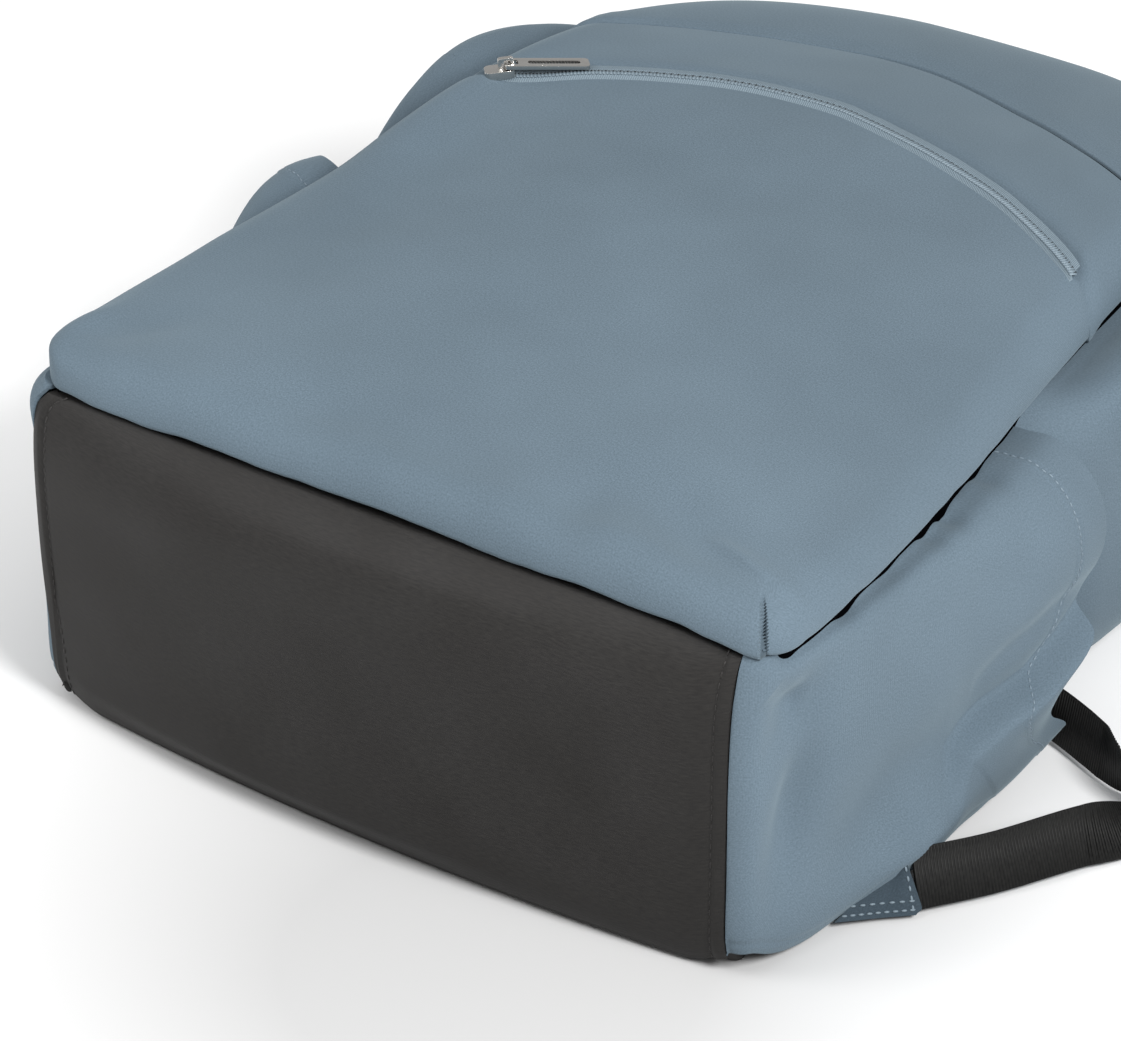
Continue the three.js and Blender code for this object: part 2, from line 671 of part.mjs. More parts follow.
// Flat band along rows of centre points, its right edge turned as the rows say
function flatBand(rows, stepsPerRow, sectionAt) {
  const centres = rows.map((r) => new THREE.Vector3(r.x, r.y, r.z));
  const path = new THREE.CatmullRomCurve3(centres, false, "centripetal");
  const count = (rows.length - 1) * stepsPerRow;
  const rings = steps(count).map((t) => {
    const place = t * (rows.length - 1);
    const i = Math.min(Math.floor(place), rows.length - 2);
    const mixed = (name) => lerp(rows[i][name], rows[i + 1][name], place - i);
    const centre = path.getPoint(t);
    const tangent = path.getTangent(t);
    const over = edgeDirection(mixed("side"), mixed("lean"));
    over.addScaledVector(tangent, -over.dot(tangent)).normalize();
    const up = new THREE.Vector3().crossVectors(over, tangent);
    return sectionAt(mixed).map(([a, b]) => centre.clone().addScaledVector(over, a).addScaledVector(up, b));
  });
  return ringSolid(rings);
}

function mirrorRows(rows, side) {
  if (side > 0) return rows;
  return rows.map((r) => ({ ...r, x: -r.x, side: -r.side, lean: -r.lean }));
}

const bandSection = (width, thickness) => [
  [-width / 2, -thickness / 2],
  [width / 2, -thickness / 2],
  [width / 2, thickness / 2],
  [-width / 2, thickness / 2],
];

// Webbing from the tab, under the adjuster, up and over its middle bar and back out as the tail
function webbing(side) {
  const heading = radians(STRAP_HEADING);
  const ahead = (distance, z) => ({
    x: ADJUSTER.x + distance * Math.cos(heading),
    y: ADJUSTER.y + distance * Math.sin(heading),
    z,
    side: STRAP_HEADING - 90,
    lean: 0,
  });
  const middle = ADJUSTER.length / 2;
  const top = ADJUSTER.bottom + ADJUSTER.thickness;
  const slot = (ADJUSTER_BAR + ADJUSTER_SLOT) / 2;
  const over = [
    ahead(0, WEBBING / 2 + 0.4),
    ahead(middle, WEBBING / 2 + 0.4),
    ahead(middle + slot * 0.8, WEBBING + 1),
    ahead(middle + slot, ADJUSTER.bottom + 1),
    ahead(middle + slot * 0.75, top + 1.2),
    ahead(middle, top + WEBBING),
    ahead(middle - slot * 0.75, top + 1.2),
    ahead(middle - slot, ADJUSTER.bottom + 1),
    ahead(middle - slot * 1.3, ADJUSTER.bottom - 1.2),
    ahead(0, ADJUSTER.bottom - 1.3),
  ];
  const rows = mirrorRows([...WEBBING_RUN, ...over, ...WEBBING_TAIL], side);
  return flatBand(rows, 3, () => bandSection(WEBBING_WIDTH, WEBBING));
}

// Anchor tab: stitched cloth from the back seam to the end of the webbing
function strapTab(side) {
  const end = WEBBING_RUN[0];
  const over = edgeDirection(end.side, end.lean);
  const ahead = edgeDirection(STRAP_HEADING, 0);
  const centre = new THREE.Vector3(end.x, end.y, end.z).addScaledVector(ahead, -TAB.gap);
  const half = WEBBING_WIDTH / 2 + 1;
  const { low, high } = TAB_SEAM;
  const rows = steps(3).map((t) =>
    steps(4).map((u) => {
      const seam = new THREE.Vector3(lerp(low.x, high.x, t), lerp(low.y, high.y, t), TAB_SEAM.z);
      const outer = centre.clone().addScaledVector(over, lerp(half, -half, t));
      const p = seam.lerp(outer, u);
      p.x += TAB.bow * t * Math.sin(Math.PI * u);
      return p;
    }),
  );
  return clothWall(mirrorGrid(rows, side), TAB.thickness);
}

// Ladder lock with two slots
function adjuster(side) {
  const { length, width, thickness, corner } = ADJUSTER;
  const shape = roundedRect(new THREE.Shape(), 0, length, width / 2, corner);
  const slotHalf = WEBBING_WIDTH / 2 + 1.5;
  for (const sign of [-1, 1]) {
    const near = length / 2 + (sign * (ADJUSTER_BAR + ADJUSTER_SLOT)) / 2;
    const half = slotHalf + sign * 0.3;
    const [start, end] = [near - ADJUSTER_SLOT / 2, near + ADJUSTER_SLOT / 2];
    shape.holes.push(roundedRect(new THREE.Path(), start, end, half, 1));
  }
  const geometry = plate(shape, thickness);
  geometry.rotateZ(radians(side > 0 ? STRAP_HEADING : 180 - STRAP_HEADING));
  geometry.translate(side * ADJUSTER.x, ADJUSTER.y, ADJUSTER.bottom);
  return geometry;
}

// Padded shoulder strap, sewn thin into the back seam at the top corner
function shoulderStrap(side) {
  const sewn = outlinePoint(3.5, backOutline(BACK_PAD.inset)).add(new THREE.Vector2(SEAM_GAP, SEAM_GAP));
  const route = [...SHOULDER_RUN, { x: sewn.x, y: sewn.y, swell: 0 }];
  const path = new THREE.SplineCurve(route.map((r) => new THREE.Vector2(r.x, r.y)));
  const last = route.length - 1;
  const rows = route.map((r, i) => {
    const tangent = path.getTangent(i / last);
    const thickness = lerp(SHOULDER_STRAP.sewnThickness, SHOULDER_STRAP.thickness, r.swell);
    const across = lerp(0.62, 1, smooth(i, 0, 3)) * SHOULDER_STRAP.width;
    const heading = THREE.MathUtils.radToDeg(Math.atan2(tangent.y, tangent.x)) - 90;
    return { ...r, z: 0, side: heading, lean: 0, thickness, across };
  });
  for (let i = 1; i < rows.length; i += 1) {
    while (rows[i].side < rows[i - 1].side - 180) rows[i].side += 360;
  }
  const section = (mixed) => {
    const [w, h] = [mixed("across") / 2, mixed("thickness")];
    const cut = h * 0.3;
    return [
      [-w + cut, 0],
      [w - cut, 0],
      [w, cut],
      [w, h - cut],
      [w - cut, h],
      [-w + cut, h],
      [-w, h - cut],
      [-w, cut],
    ];
  };
  return flatBand(mirrorRows(rows, side), 3, section);
}

// Webbing loop at the top
function grabHandle() {
  const root = BODY_OUTLINES.middle.high - HANDLE.sink;
  const rows = [
    { x: -HANDLE.half, y: root + HANDLE.thickness / 2 },
    { x: -HANDLE.half * 0.86, y: root + HANDLE.reach * 0.62 },
    { x: -HANDLE.half * 0.5, y: root + HANDLE.reach * 0.95 },
    { x: 0, y: root + HANDLE.reach },
    { x: HANDLE.half * 0.5, y: root + HANDLE.reach * 0.95 },
    { x: HANDLE.half * 0.86, y: root + HANDLE.reach * 0.62 },
    { x: HANDLE.half, y: root + HANDLE.thickness / 2 },
  ].map((r) => ({ ...r, z: HANDLE.z, side: -90, lean: 90 }));
  return flatBand(rows, 3, () => bandSection(HANDLE.width, HANDLE.thickness));
}

// Frame on the front zip: origin on the tape, X along the zip towards the right, Z outwards
function zipFrame(place) {
  const origin = skinOnLine(place, zipY);
  const along = skinOnLine(place + 0.02, zipY).sub(skinOnLine(place - 0.02, zipY)).normalize();
  const across = skinOnLine(place, (x) => zipY(x) + 2).sub(skinOnLine(place, (x) => zipY(x) - 2));
  const out = new THREE.Vector3().crossVectors(along, across).normalize();
  const over = new THREE.Vector3().crossVectors(out, along);
  return new THREE.Matrix4().makeBasis(along, over, out).setPosition(origin);
}

function roundedRect(shape, x0, x1, half, radius) {
  shape.moveTo(x0 + radius, -half);
  shape.lineTo(x1 - radius, -half);
  shape.absarc(x1 - radius, -half + radius, radius, -Math.PI / 2, 0, false);
  shape.absarc(x1 - radius, half - radius, radius, 0, Math.PI / 2, false);
  shape.absarc(x0 + radius, half - radius, radius, Math.PI / 2, Math.PI, false);
  shape.absarc(x0 + radius, -half + radius, radius, Math.PI, 1.5 * Math.PI, false);
  return shape;
}

// Flat plate with square edges
function plate(shape, depth) {
  return new THREE.ExtrudeGeometry(shape, { depth, bevelEnabled: false, curveSegments: 2 });
}

// Slider body with the bridge that the pull hangs on
function zipSlider() {
  const reach = SLIDER.length / 2;
  const outline = roundedRect(new THREE.Shape(), -reach, reach, SLIDER.width / 2, 2);
  const body = plate(outline, SLIDER.thickness);
  const arch = roundedRect(new THREE.Shape(), -0.5, BRIDGE.height, BRIDGE.length / 2, 1);
  arch.holes.push(roundedRect(new THREE.Path(), -0.2, BRIDGE.clear, BRIDGE.opening / 2, 0.5));
  const bridge = plate(arch, BRIDGE.width);
  bridge.translate(0, 0, -BRIDGE.width / 2);
  bridge.rotateX(Math.PI / 2);
  bridge.rotateY(-Math.PI / 2);
  bridge.translate(BRIDGE.ahead, 0, SLIDER.thickness);
  return fromSolid(toSolid(body).add(toSolid(bridge)));
}

// Slotted pull, its crossbar on the Y axis of its own frame
function zipPull() {
  const start = -PULL.bar / 2;
  const shape = roundedRect(new THREE.Shape(), start, start + PULL.length, PULL.width / 2, 1.6);
  const eyeEnd = PULL.bar / 2 + PULL.eyeLength;
  const eye = roundedRect(new THREE.Path(), PULL.bar / 2, eyeEnd, PULL.eyeWidth / 2, 0.5);
  const slot = roundedRect(new THREE.Path(), PULL_SLOT.start, PULL_SLOT.end, PULL_SLOT.width / 2, 1.1);
  shape.holes.push(eye, slot);
  const geometry = plate(shape, PULL.thickness);
  geometry.translate(0, 0, -PULL.thickness / 2);
  return geometry;
}

function mainZipSlider() {
  const { start, end, width, thickness } = MAIN_SLIDER;
  return plate(roundedRect(new THREE.Shape(), start, end, width / 2, 2), thickness);
}

addMesh("base_panel", basePanel(), "base");
addMesh("front_pocket_panel", frontPocketPanel(), "cloth");
addMesh("front_zip", frontZip(), "tape");
addMesh("front_band_panel", frontBandPanel(), "cloth");
addMesh("front_top_panel", frontTopPanel(), "cloth");
const zipGap = 0.006;
addMesh("top_band_back", topBand([0, 0.05, 0.13, 0.28, 0.46, MAIN_ZIP.low - zipGap], PADDED_CLOTH), "cloth");
addMesh("main_zip", topBand([MAIN_ZIP.low, MAIN_ZIP.high], ZIP_TAPE), "tape");
addMesh("top_band_front", topBand([MAIN_ZIP.high + zipGap, 0.86, 0.94, 1], PADDED_CLOTH), "cloth");
addMesh("back_panel", backPanel(), "pad");
for (const [name, side] of [["left", -1], ["right", 1]]) {
  addMesh(`side_pocket_${name}`, sidePocket(side), "cloth");
  addMesh(`side_panel_${name}`, sidePanel(side), "cloth");
  addMesh(`strap_tab_${name}`, strapTab(side), "cloth");
  addMesh(`strap_webbing_${name}`, webbing(side), "webbing");
  addMesh(`strap_adjuster_${name}`, adjuster(side), "plastic");
  addMesh(`shoulder_strap_${name}`, shoulderStrap(side), "pad");
}
addMesh("grab_handle", grabHandle(), "webbing");

const sliderFrame = zipFrame(SLIDER.place);
const slider = addMesh("front_zip_slider", zipSlider(), "metal");
slider.geometry.translate(0, 0, SLIDER.lift);
slider.applyMatrix4(sliderFrame);
const pull = addMesh("front_zip_pull", zipPull(), "metal");
const axisHeight = SLIDER.lift + SLIDER.thickness + BRIDGE.clear / 2;
pull.geometry.rotateY(PULL_DIP);
pull.geometry.translate(BRIDGE.ahead, 0, axisHeight);
pull.applyMatrix4(sliderFrame);

const mainSlider = addMesh("main_zip_slider", mainZipSlider(), "metal");
const mainDepth = (MAIN_ZIP.low + MAIN_ZIP.high) / 2;
const crest = bodyPoint(5, mainDepth);
mainSlider.rotation.set(-Math.PI / 2, 0, 0);
mainSlider.position.copy(crest).add(new THREE.Vector3(0, MAIN_SLIDER.lift, 0));

// Centre the bag's length on the origin
const bounds = new THREE.Box3().setFromObject(group);
group.position.y = -(bounds.min.y + bounds.max.y) / 2;

export default group;
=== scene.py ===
import math

import bmesh
import bpy
import numpy as np
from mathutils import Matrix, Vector


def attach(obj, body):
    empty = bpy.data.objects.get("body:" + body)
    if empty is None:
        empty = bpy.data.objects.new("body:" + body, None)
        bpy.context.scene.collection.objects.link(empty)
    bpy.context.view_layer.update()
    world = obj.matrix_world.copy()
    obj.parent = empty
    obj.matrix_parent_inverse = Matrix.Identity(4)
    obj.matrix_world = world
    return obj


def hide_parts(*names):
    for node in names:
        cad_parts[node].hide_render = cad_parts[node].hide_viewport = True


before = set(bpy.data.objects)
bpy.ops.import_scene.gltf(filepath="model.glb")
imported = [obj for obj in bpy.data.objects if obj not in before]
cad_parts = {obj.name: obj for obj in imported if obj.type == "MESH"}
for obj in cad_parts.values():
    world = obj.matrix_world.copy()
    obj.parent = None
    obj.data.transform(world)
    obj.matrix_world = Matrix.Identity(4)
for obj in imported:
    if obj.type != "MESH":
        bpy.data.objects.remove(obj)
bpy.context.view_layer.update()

# Base. Charcoal twill with a smooth coating, one piece between the two lower corners. Its edges
# are turned in and topstitched over the side pockets, its top runs in under the front panel's lip.

# The tables count Y from the base seam; the CAD part has its middle on the origin
TABLES_START = -224.315
BASE_HALF = 134
BASE_CLOTH = 2.0

# Half-widths of the bag along its length: at the back seam, of the body wall and of the pocket
# over it at half depth, and at the front seam
LENGTHS = [0, 18, 50, 90, 130, 165, 200, 240, 300, 340]
HALF_WIDTHS = {
    "back": [140, 145, 149, 150, 149, 143, 135, 132, 130, 128],
    "body": [138, 141, 145, 148, 150, 151, 154, 158, 156, 148],
    "pocket": [141.5, 148, 154, 160.5, 164, 164, 162, 160, 158, 156],
    "front": [141, 146, 147, 144.5, 141, 137, 133.5, 130, 126, 122],
}
# Plan outlines of the outer band: low and high are the two ends of the bag, bow how far the
# base's middle stands out, corner and crest the radii of the base and top corners
POCKET_OUTLINES = {
    "back": {"half": "back", "low": -9, "bow": 8, "high": 424, "corner": 7, "crest": 92, "tuck": 0, "turn": 13},
    "middle": {"half": "pocket", "low": -13, "bow": 10, "high": 440, "corner": 9, "crest": 104, "tuck": 0},
    "front": {"half": "front", "low": 4, "bow": 0, "high": 420, "corner": 14, "crest": 90, "tuck": 0},
}
SHOULDER_TURN = 5
# Height of the back seam along the base, and how much higher it runs at the base corners and the top
BACK_SEAM = {"base": 2.6, "corner": 7.4, "top": 6.6}
# Where the front seam sags at the right base corner
SEAM_SAG = {"x": 140, "y": 6, "reach": 26, "depth": 2.6}
SEAM_LENGTHS = [0, 100, 200, 260, 320, 370, 425]
FRONT_SEAM = [119, 120, 123, 125, 121, 110, 90]
# Rows of a fold table: place (a, b), heading in degrees, half-length, half-width, height
BASE_FOLDS = [
    (-70, 98, 8, 60, 10, 1.4),
    (-40, 14, 0, 90, 30, 5),
    (60, 60, 80, 45, 26, -1.2),
    (20, 108, 0, 70, 5, 0.8),
]


def smoothstep(value, start, end):
    share = np.clip((value - start) / (end - start), 0, 1)
    return share * share * (3 - 2 * share)


def mix(a, b, share):
    return a + (b - a) * share


def bell(offset, width):
    return np.exp(-((offset / width) ** 2))


def table(at, keys, values):
    """Smooth curve through a short table."""
    keys, values = np.asarray(keys, float), np.asarray(values, float)
    at = np.clip(at, keys[0], keys[-1])
    low, high = np.maximum(np.arange(len(keys)) - 1, 0), np.minimum(np.arange(len(keys)) + 1, len(keys) - 1)
    slopes = (values[high] - values[low]) / (keys[high] - keys[low])
    i = np.clip(np.searchsorted(keys, at, "right") - 1, 0, len(keys) - 2)
    span = keys[i + 1] - keys[i]
    rise = values[i + 1] - values[i]
    t = (at - keys[i]) / span
    curve = (1 - t) * (slopes[i] * span - rise) - t * (slopes[i + 1] * span - rise)
    return values[i] + rise * t + t * (1 - t) * curve


def tuck_at(y):
    """Share of the step inwards behind the pocket: whole under it, none above its mouth."""
    return 1 - smoothstep(y, 176, 214)


def outline_at(outlines, v):
    """Plan outline at depth v, from the back seam at 0 to the front seam at 1."""
    to_back = np.clip(1 - 2 * v, 0, None) ** outlines["back"]["turn"]
    to_front = np.clip(2 * v - 1, 0, None) ** SHOULDER_TURN

    def blend(back, middle, front):
        return middle + (back - middle) * to_back + (front - middle) * to_front

    def half(y):
        widths = (table(y, LENGTHS, HALF_WIDTHS[o["half"]]) - o["tuck"] * tuck_at(y) for o in outlines.values())
        return blend(*widths)

    names = ("low", "bow", "high", "corner", "crest")
    return {"half": half, **{name: blend(*(o[name] for o in outlines.values())) for name in names}}


def outline_point(station, o):
    """X and Y on a plan outline. Stations run from the middle of the base, 0, up the right side
    to the middle of the top, 5: half the base, base corner, side, top corner, half the top.
    Minus is the left side."""
    t = np.abs(station)
    side_start = o["low"] + o["bow"] + o["corner"]
    side_end = o["high"] - o["crest"]
    crest_start = o["half"](side_end) - o["crest"]
    corner_turn = (np.clip(t, 1, 2) - 1) * np.pi / 2
    crest_turn = (np.clip(t, 3, 4) - 3) * np.pi / 2
    side_y = mix(side_start, side_end, np.clip(t, 2, 3) - 2)
    legs = [t <= 1, t <= 2, t <= 3, t <= 4, t > 4]
    x = np.select(legs, np.broadcast_arrays(
        t * BASE_HALF,
        mix(BASE_HALF, o["half"](side_start), np.sin(corner_turn)),
        o["half"](side_y),
        crest_start + o["crest"] * np.cos(crest_turn),
        crest_start * (5 - t),
    ))
    y = np.select(legs, np.broadcast_arrays(
        o["low"] + o["bow"] * t * t,
        side_start - o["corner"] * np.cos(corner_turn),
        side_y,
        side_end + o["crest"] * np.sin(crest_turn),
        o["high"] + 0 * t,
    ))
    return np.where(station < 0, -x, x), y


def station_at(y, o):
    """Station on the side of an outline at a given Y."""
    start = o["low"] + o["bow"] + o["corner"]
    return 2 + (y - start) / (o["high"] - o["crest"] - start)


def front_seam_z(y):
    return table(y, SEAM_LENGTHS, FRONT_SEAM)


def back_seam_z(station):
    t = np.abs(station)
    corner = BACK_SEAM["corner"] * smoothstep(t, 0.87, 1.08) * (1 - smoothstep(t, 1.93, 2.075))
    return BACK_SEAM["base"] + corner + BACK_SEAM["top"] * smoothstep(t, 2.7, 3.2)


def seam_dip(x, y):
    """How far the front seam sags at a place."""
    over, up = (x - SEAM_SAG["x"]) / SEAM_SAG["reach"], (y - SEAM_SAG["y"]) / SEAM_SAG["reach"]
    return SEAM_SAG["depth"] * np.exp(-(over**2) - up**2)


def pocket_point(station, v):
    """Point of the outer band: base and side pockets."""
    station, v = np.broadcast_arrays(np.asarray(station, float), np.asarray(v, float))
    x, y = outline_point(station, outline_at(POCKET_OUTLINES, v))
    return np.stack([x, y, mix(back_seam_z(station), front_seam_z(y), v)], -1)


def unit(vectors):
    return vectors / np.maximum(np.linalg.norm(vectors, axis=-1, keepdims=True), 1e-9)


def grid_normals(grid):
    """Outward direction at each point of a grid of rows and columns."""
    return unit(np.cross(np.gradient(grid, axis=1), np.gradient(grid, axis=0)))


def pushed(grid, depth):
    """Grid moved in or out along its own surface."""
    return grid + grid_normals(grid) * depth[..., None]


def fold_depth(folds, a, b):
    """Sum of the folds of a table at a place on a panel."""
    depth = np.zeros(np.broadcast(a, b).shape)
    for at_a, at_b, heading, length, width, height in folds:
        turn = math.radians(heading)
        along = (a - at_a) * math.cos(turn) + (b - at_b) * math.sin(turn)
        across = (b - at_b) * math.cos(turn) - (a - at_a) * math.sin(turn)
        depth = depth + height * np.exp(-((along / length) ** 2) - (across / width) ** 2)
    return depth


def wander(a, b, size, seed):
    """Smooth seeded unevenness between -1 and 1 whose knots are a size apart."""
    knots = np.random.default_rng(seed).uniform(-1, 1, (64, 64))
    a, b = np.broadcast_arrays(a / size + 32, b / size + 32)
    i, j = np.floor(a).astype(int), np.floor(b).astype(int)
    s, t = smoothstep(a - i, 0, 1), smoothstep(b - j, 0, 1)
    i, j = i % 63, j % 63
    return mix(mix(knots[i, j], knots[i + 1, j], s), mix(knots[i, j + 1], knots[i + 1, j + 1], s), t)


def turned_in(grid, foot, top, rise, smooth=None):
    """Grid with its two long edges turned inwards, as seam allowances are. A gathered grid takes
    the direction inwards from its smooth shape."""
    flat = unit(grid_normals(grid if smooth is None else smooth) * [1, 1, 0])
    down = np.minimum(grid[0, :, 2:] - 0.6, 1.8)
    shares = (0.25, 0.5, 0.75, 1)
    under = [grid[0] - flat[0] * foot * s**2 - [0, 0, 1] * down * math.sin(s * math.pi / 2) for s in shares[::-1]]
    over = [grid[-1] - flat[-1] * top * s + [0, 0, rise * math.sin(s * math.pi / 2)] for s in shares]
    return np.concatenate([under, grid, over] if foot else [grid, over])


def in_scene(name, data):
    """Object of a mesh, light or camera, linked to the scene."""
    thing = bpy.data.objects.new(name, data)
    bpy.context.collection.objects.link(thing)
    return thing


def mesh_piece(name, points, faces, uv, material):
    """Object with smooth faces and a UV map in metres, from points in the tables' millimetres."""
    mesh = bpy.data.meshes.new(name)
    mesh.from_pydata(((points + [0, TABLES_START, 0]) / 1000).tolist(), [], faces)
    corners = np.empty(len(mesh.loops), np.int32)
    mesh.loops.foreach_get("vertex_index", corners)
    mesh.uv_layers.new(name="cloth").data.foreach_set("uv", (uv[corners] / 1000).astype(np.float32).ravel())
    mesh.polygons.foreach_set("use_smooth", np.ones(len(mesh.polygons), bool))
    mesh.set_sharp_from_angle(angle=math.radians(60))
    mesh.materials.append(material)
    return in_scene(name, mesh)


def run_length(points, axis):
    """Length of the way to each point along one axis of a grid."""
    gaps = np.diff(points, axis=axis, prepend=np.take(points, [0], axis))
    return np.cumsum(np.linalg.norm(gaps, axis=-1), axis=axis)


def cloth_sheet(name, grid, thickness, material):
    """Piece of cloth from a grid of points on its outer face, closed behind and at its rim."""
    rows, columns = grid.shape[:2]
    size = rows * columns
    behind = grid - thickness * grid_normals(grid)
    index = np.arange(size).reshape(rows, columns)
    face = np.stack([index[:-1, :-1], index[:-1, 1:], index[1:, 1:], index[1:, :-1]], -1)
    face[:, columns // 2 :] = np.roll(face[:, columns // 2 :], 1, axis=-1)
    face = face.reshape(-1, 4)
    rim = np.concatenate([index[0, :-1], index[:-1, -1], index[-1, :0:-1], index[:0:-1, 0]])
    after = np.roll(rim, -1)
    edge = np.stack([rim, rim + size, after + size, after], -1)
    faces = np.concatenate([face, face[:, ::-1] + size, edge]).tolist()
    over = run_length(grid, 1)
    over -= over[:, [columns // 2]]
    up = run_length(grid, 0)
    uv = np.tile(np.stack([over, up], -1).reshape(-1, 2), (2, 1))
    return mesh_piece(name, np.concatenate([grid.reshape(-1, 3), behind.reshape(-1, 3)]), faces, uv, material)


def colour(hex_code):
    """sRGB hex as the linear colour that a shader socket takes."""
    parts = [int(hex_code[i : i + 2], 16) / 255 for i in (1, 3, 5)]
    return [p / 12.92 if p <= 0.04045 else ((p + 0.055) / 1.055) ** 2.4 for p in parts] + [1]


def add_node(tree, kind, links=(), **settings):
    """Node with its settings and links. A setting may name a socket or give the position and colour
    of each stop of a ramp; links pair sources with sockets."""
    node = tree.nodes.new(kind)
    for name, value in settings.items():
        if name == "ramp":
            for stop, (position, hex_code) in zip(node.color_ramp.elements, value):
                stop.position, stop.color = position, colour(hex_code)
        elif hasattr(node, name):
            setattr(node, name, value)
        else:
            node.inputs[name.replace("_", " ")].default_value = value
    for source, socket in links:
        tree.links.new(source, node.inputs[socket])
    return node


def new_material(name, **finish):
    """Material with the UV map, and a principled shader with the finish's values on its output."""
    material = bpy.data.materials.new(name)
    material.use_nodes = True
    tree = material.node_tree
    tree.nodes.clear()
    shader = add_node(tree, "ShaderNodeBsdfPrincipled", **finish)
    add_node(tree, "ShaderNodeOutputMaterial", [(shader.outputs["BSDF"], "Surface")])
    return material, tree, shader, add_node(tree, "ShaderNodeUVMap", uv_map="cloth").outputs["UV"]


# Coated twill: nearly black brown-grey, a fine grain of stretched noise running across the bag, a
# dull sheen. The real grain is 0.4 mm apart and is drawn at about 1 mm so that it shows.
coated_twill, tree, shader, uv = new_material("coated_twill", Specular_IOR_Level=0.22)
stretched = add_node(tree, "ShaderNodeMapping", [(uv, "Vector")], Scale=(0.2, 1, 1))
grain = add_node(tree, "ShaderNodeTexNoise", [(stretched.outputs["Vector"], "Vector")],
                 Scale=1500, Detail=2, Roughness=0.5)
patches = add_node(tree, "ShaderNodeTexNoise", [(uv, "Vector")], Scale=24, Detail=2)
tint = add_node(tree, "ShaderNodeValToRGB", [(grain.outputs["Fac"], "Fac")],
                ramp=((0.3, "#212020"), (0.72, "#2d2c2b")))
faded = add_node(tree, "ShaderNodeMix", [(patches.outputs["Fac"], 0), (tint.outputs["Color"], 6)],
                 data_type="RGBA", blend_type="SOFT_LIGHT")
faded.inputs[7].default_value = colour("#84807a")
tree.links.new(faded.outputs[2], shader.inputs["Base Color"])
shine = add_node(tree, "ShaderNodeMapRange", [(grain.outputs["Fac"], "Value")], To_Min=0.5, To_Max=0.68)
tree.links.new(shine.outputs["Result"], shader.inputs["Roughness"])
relief = add_node(tree, "ShaderNodeBump", [(grain.outputs["Fac"], "Height")], Strength=0.4, Distance=0.0002)
tree.links.new(relief.outputs["Normal"], shader.inputs["Normal"])


def spans(*legs):
    """Even steps through legs of (start, end, count), each joined to the next."""
    runs = [np.linspace(*leg) for leg in legs]
    return np.concatenate([run[:-1] for run in runs[:-1]] + runs[-1:])


BASE_DEPTHS = spans((0, 0.14, 20), (0.14, 0.86, 48), (0.86, 1, 22))
BASE_PLACES = spans((-1, -0.9, 26), (-0.9, 0.9, 110), (0.9, 0.9985, 14))
BASE_STITCH_INSET = 5.5
# A stitch is its pitch along the seam and its length, width and height, half sunk in the cloth
BASE_STITCH = (3.6, (2.5, 0.7, 0.6))


def base_left(v):
    """Station of the base's left edge, which wraps the corner in the middle and slants in at its ends."""
    return table(v, [0, 0.2, 0.5, 0.88, 0.94, 1], [1.14, 1.18, 1.4, 1.46, 1.42, 1.14])


def fix_on(piece, node=None, body="bag"):
    """Fix a piece to a body of the frame. Where a CAD node is named, the piece
    is shown instead of it."""
    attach(piece, body)
    if node:
        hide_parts(node)


base_v = BASE_DEPTHS[:, None]
left_places = -mix(0.9, base_left(base_v), (-0.9 - BASE_PLACES[None]) / 0.1)
base_places = np.where(BASE_PLACES[None] < -0.9, left_places, BASE_PLACES[None])
base_grid = pocket_point(base_places, base_v)
base_grid[..., 2] -= 0.3 * smoothstep(base_v, 0.96, 1) + seam_dip(base_grid[..., 0], base_grid[..., 1]) * base_v**6
along_base = run_length(base_grid, 1)
from_edge = np.minimum(along_base, along_base[:, -1:] - along_base)
inner = smoothstep(base_v, 0.01, 0.1) * np.sin(np.pi * base_v) ** 0.25 * (1 - (1 - from_edge / BASE_HALF) ** 6)
base_grid = pushed(base_grid, fold_depth(BASE_FOLDS, base_grid[..., 0], base_grid[..., 2]) * inner
                   + 0.35 * wander(base_grid[..., 0], base_grid[..., 2], 30, 3) * inner
                   + 0.6 * (1 - smoothstep(from_edge, 3.5, 5.2))
                   - 0.5 * bell(from_edge - BASE_STITCH_INSET, 0.9))
base = cloth_sheet("base", turned_in(base_grid, 2.8, 6, -0.3), BASE_CLOTH, coated_twill)
fix_on(base, "base_panel")


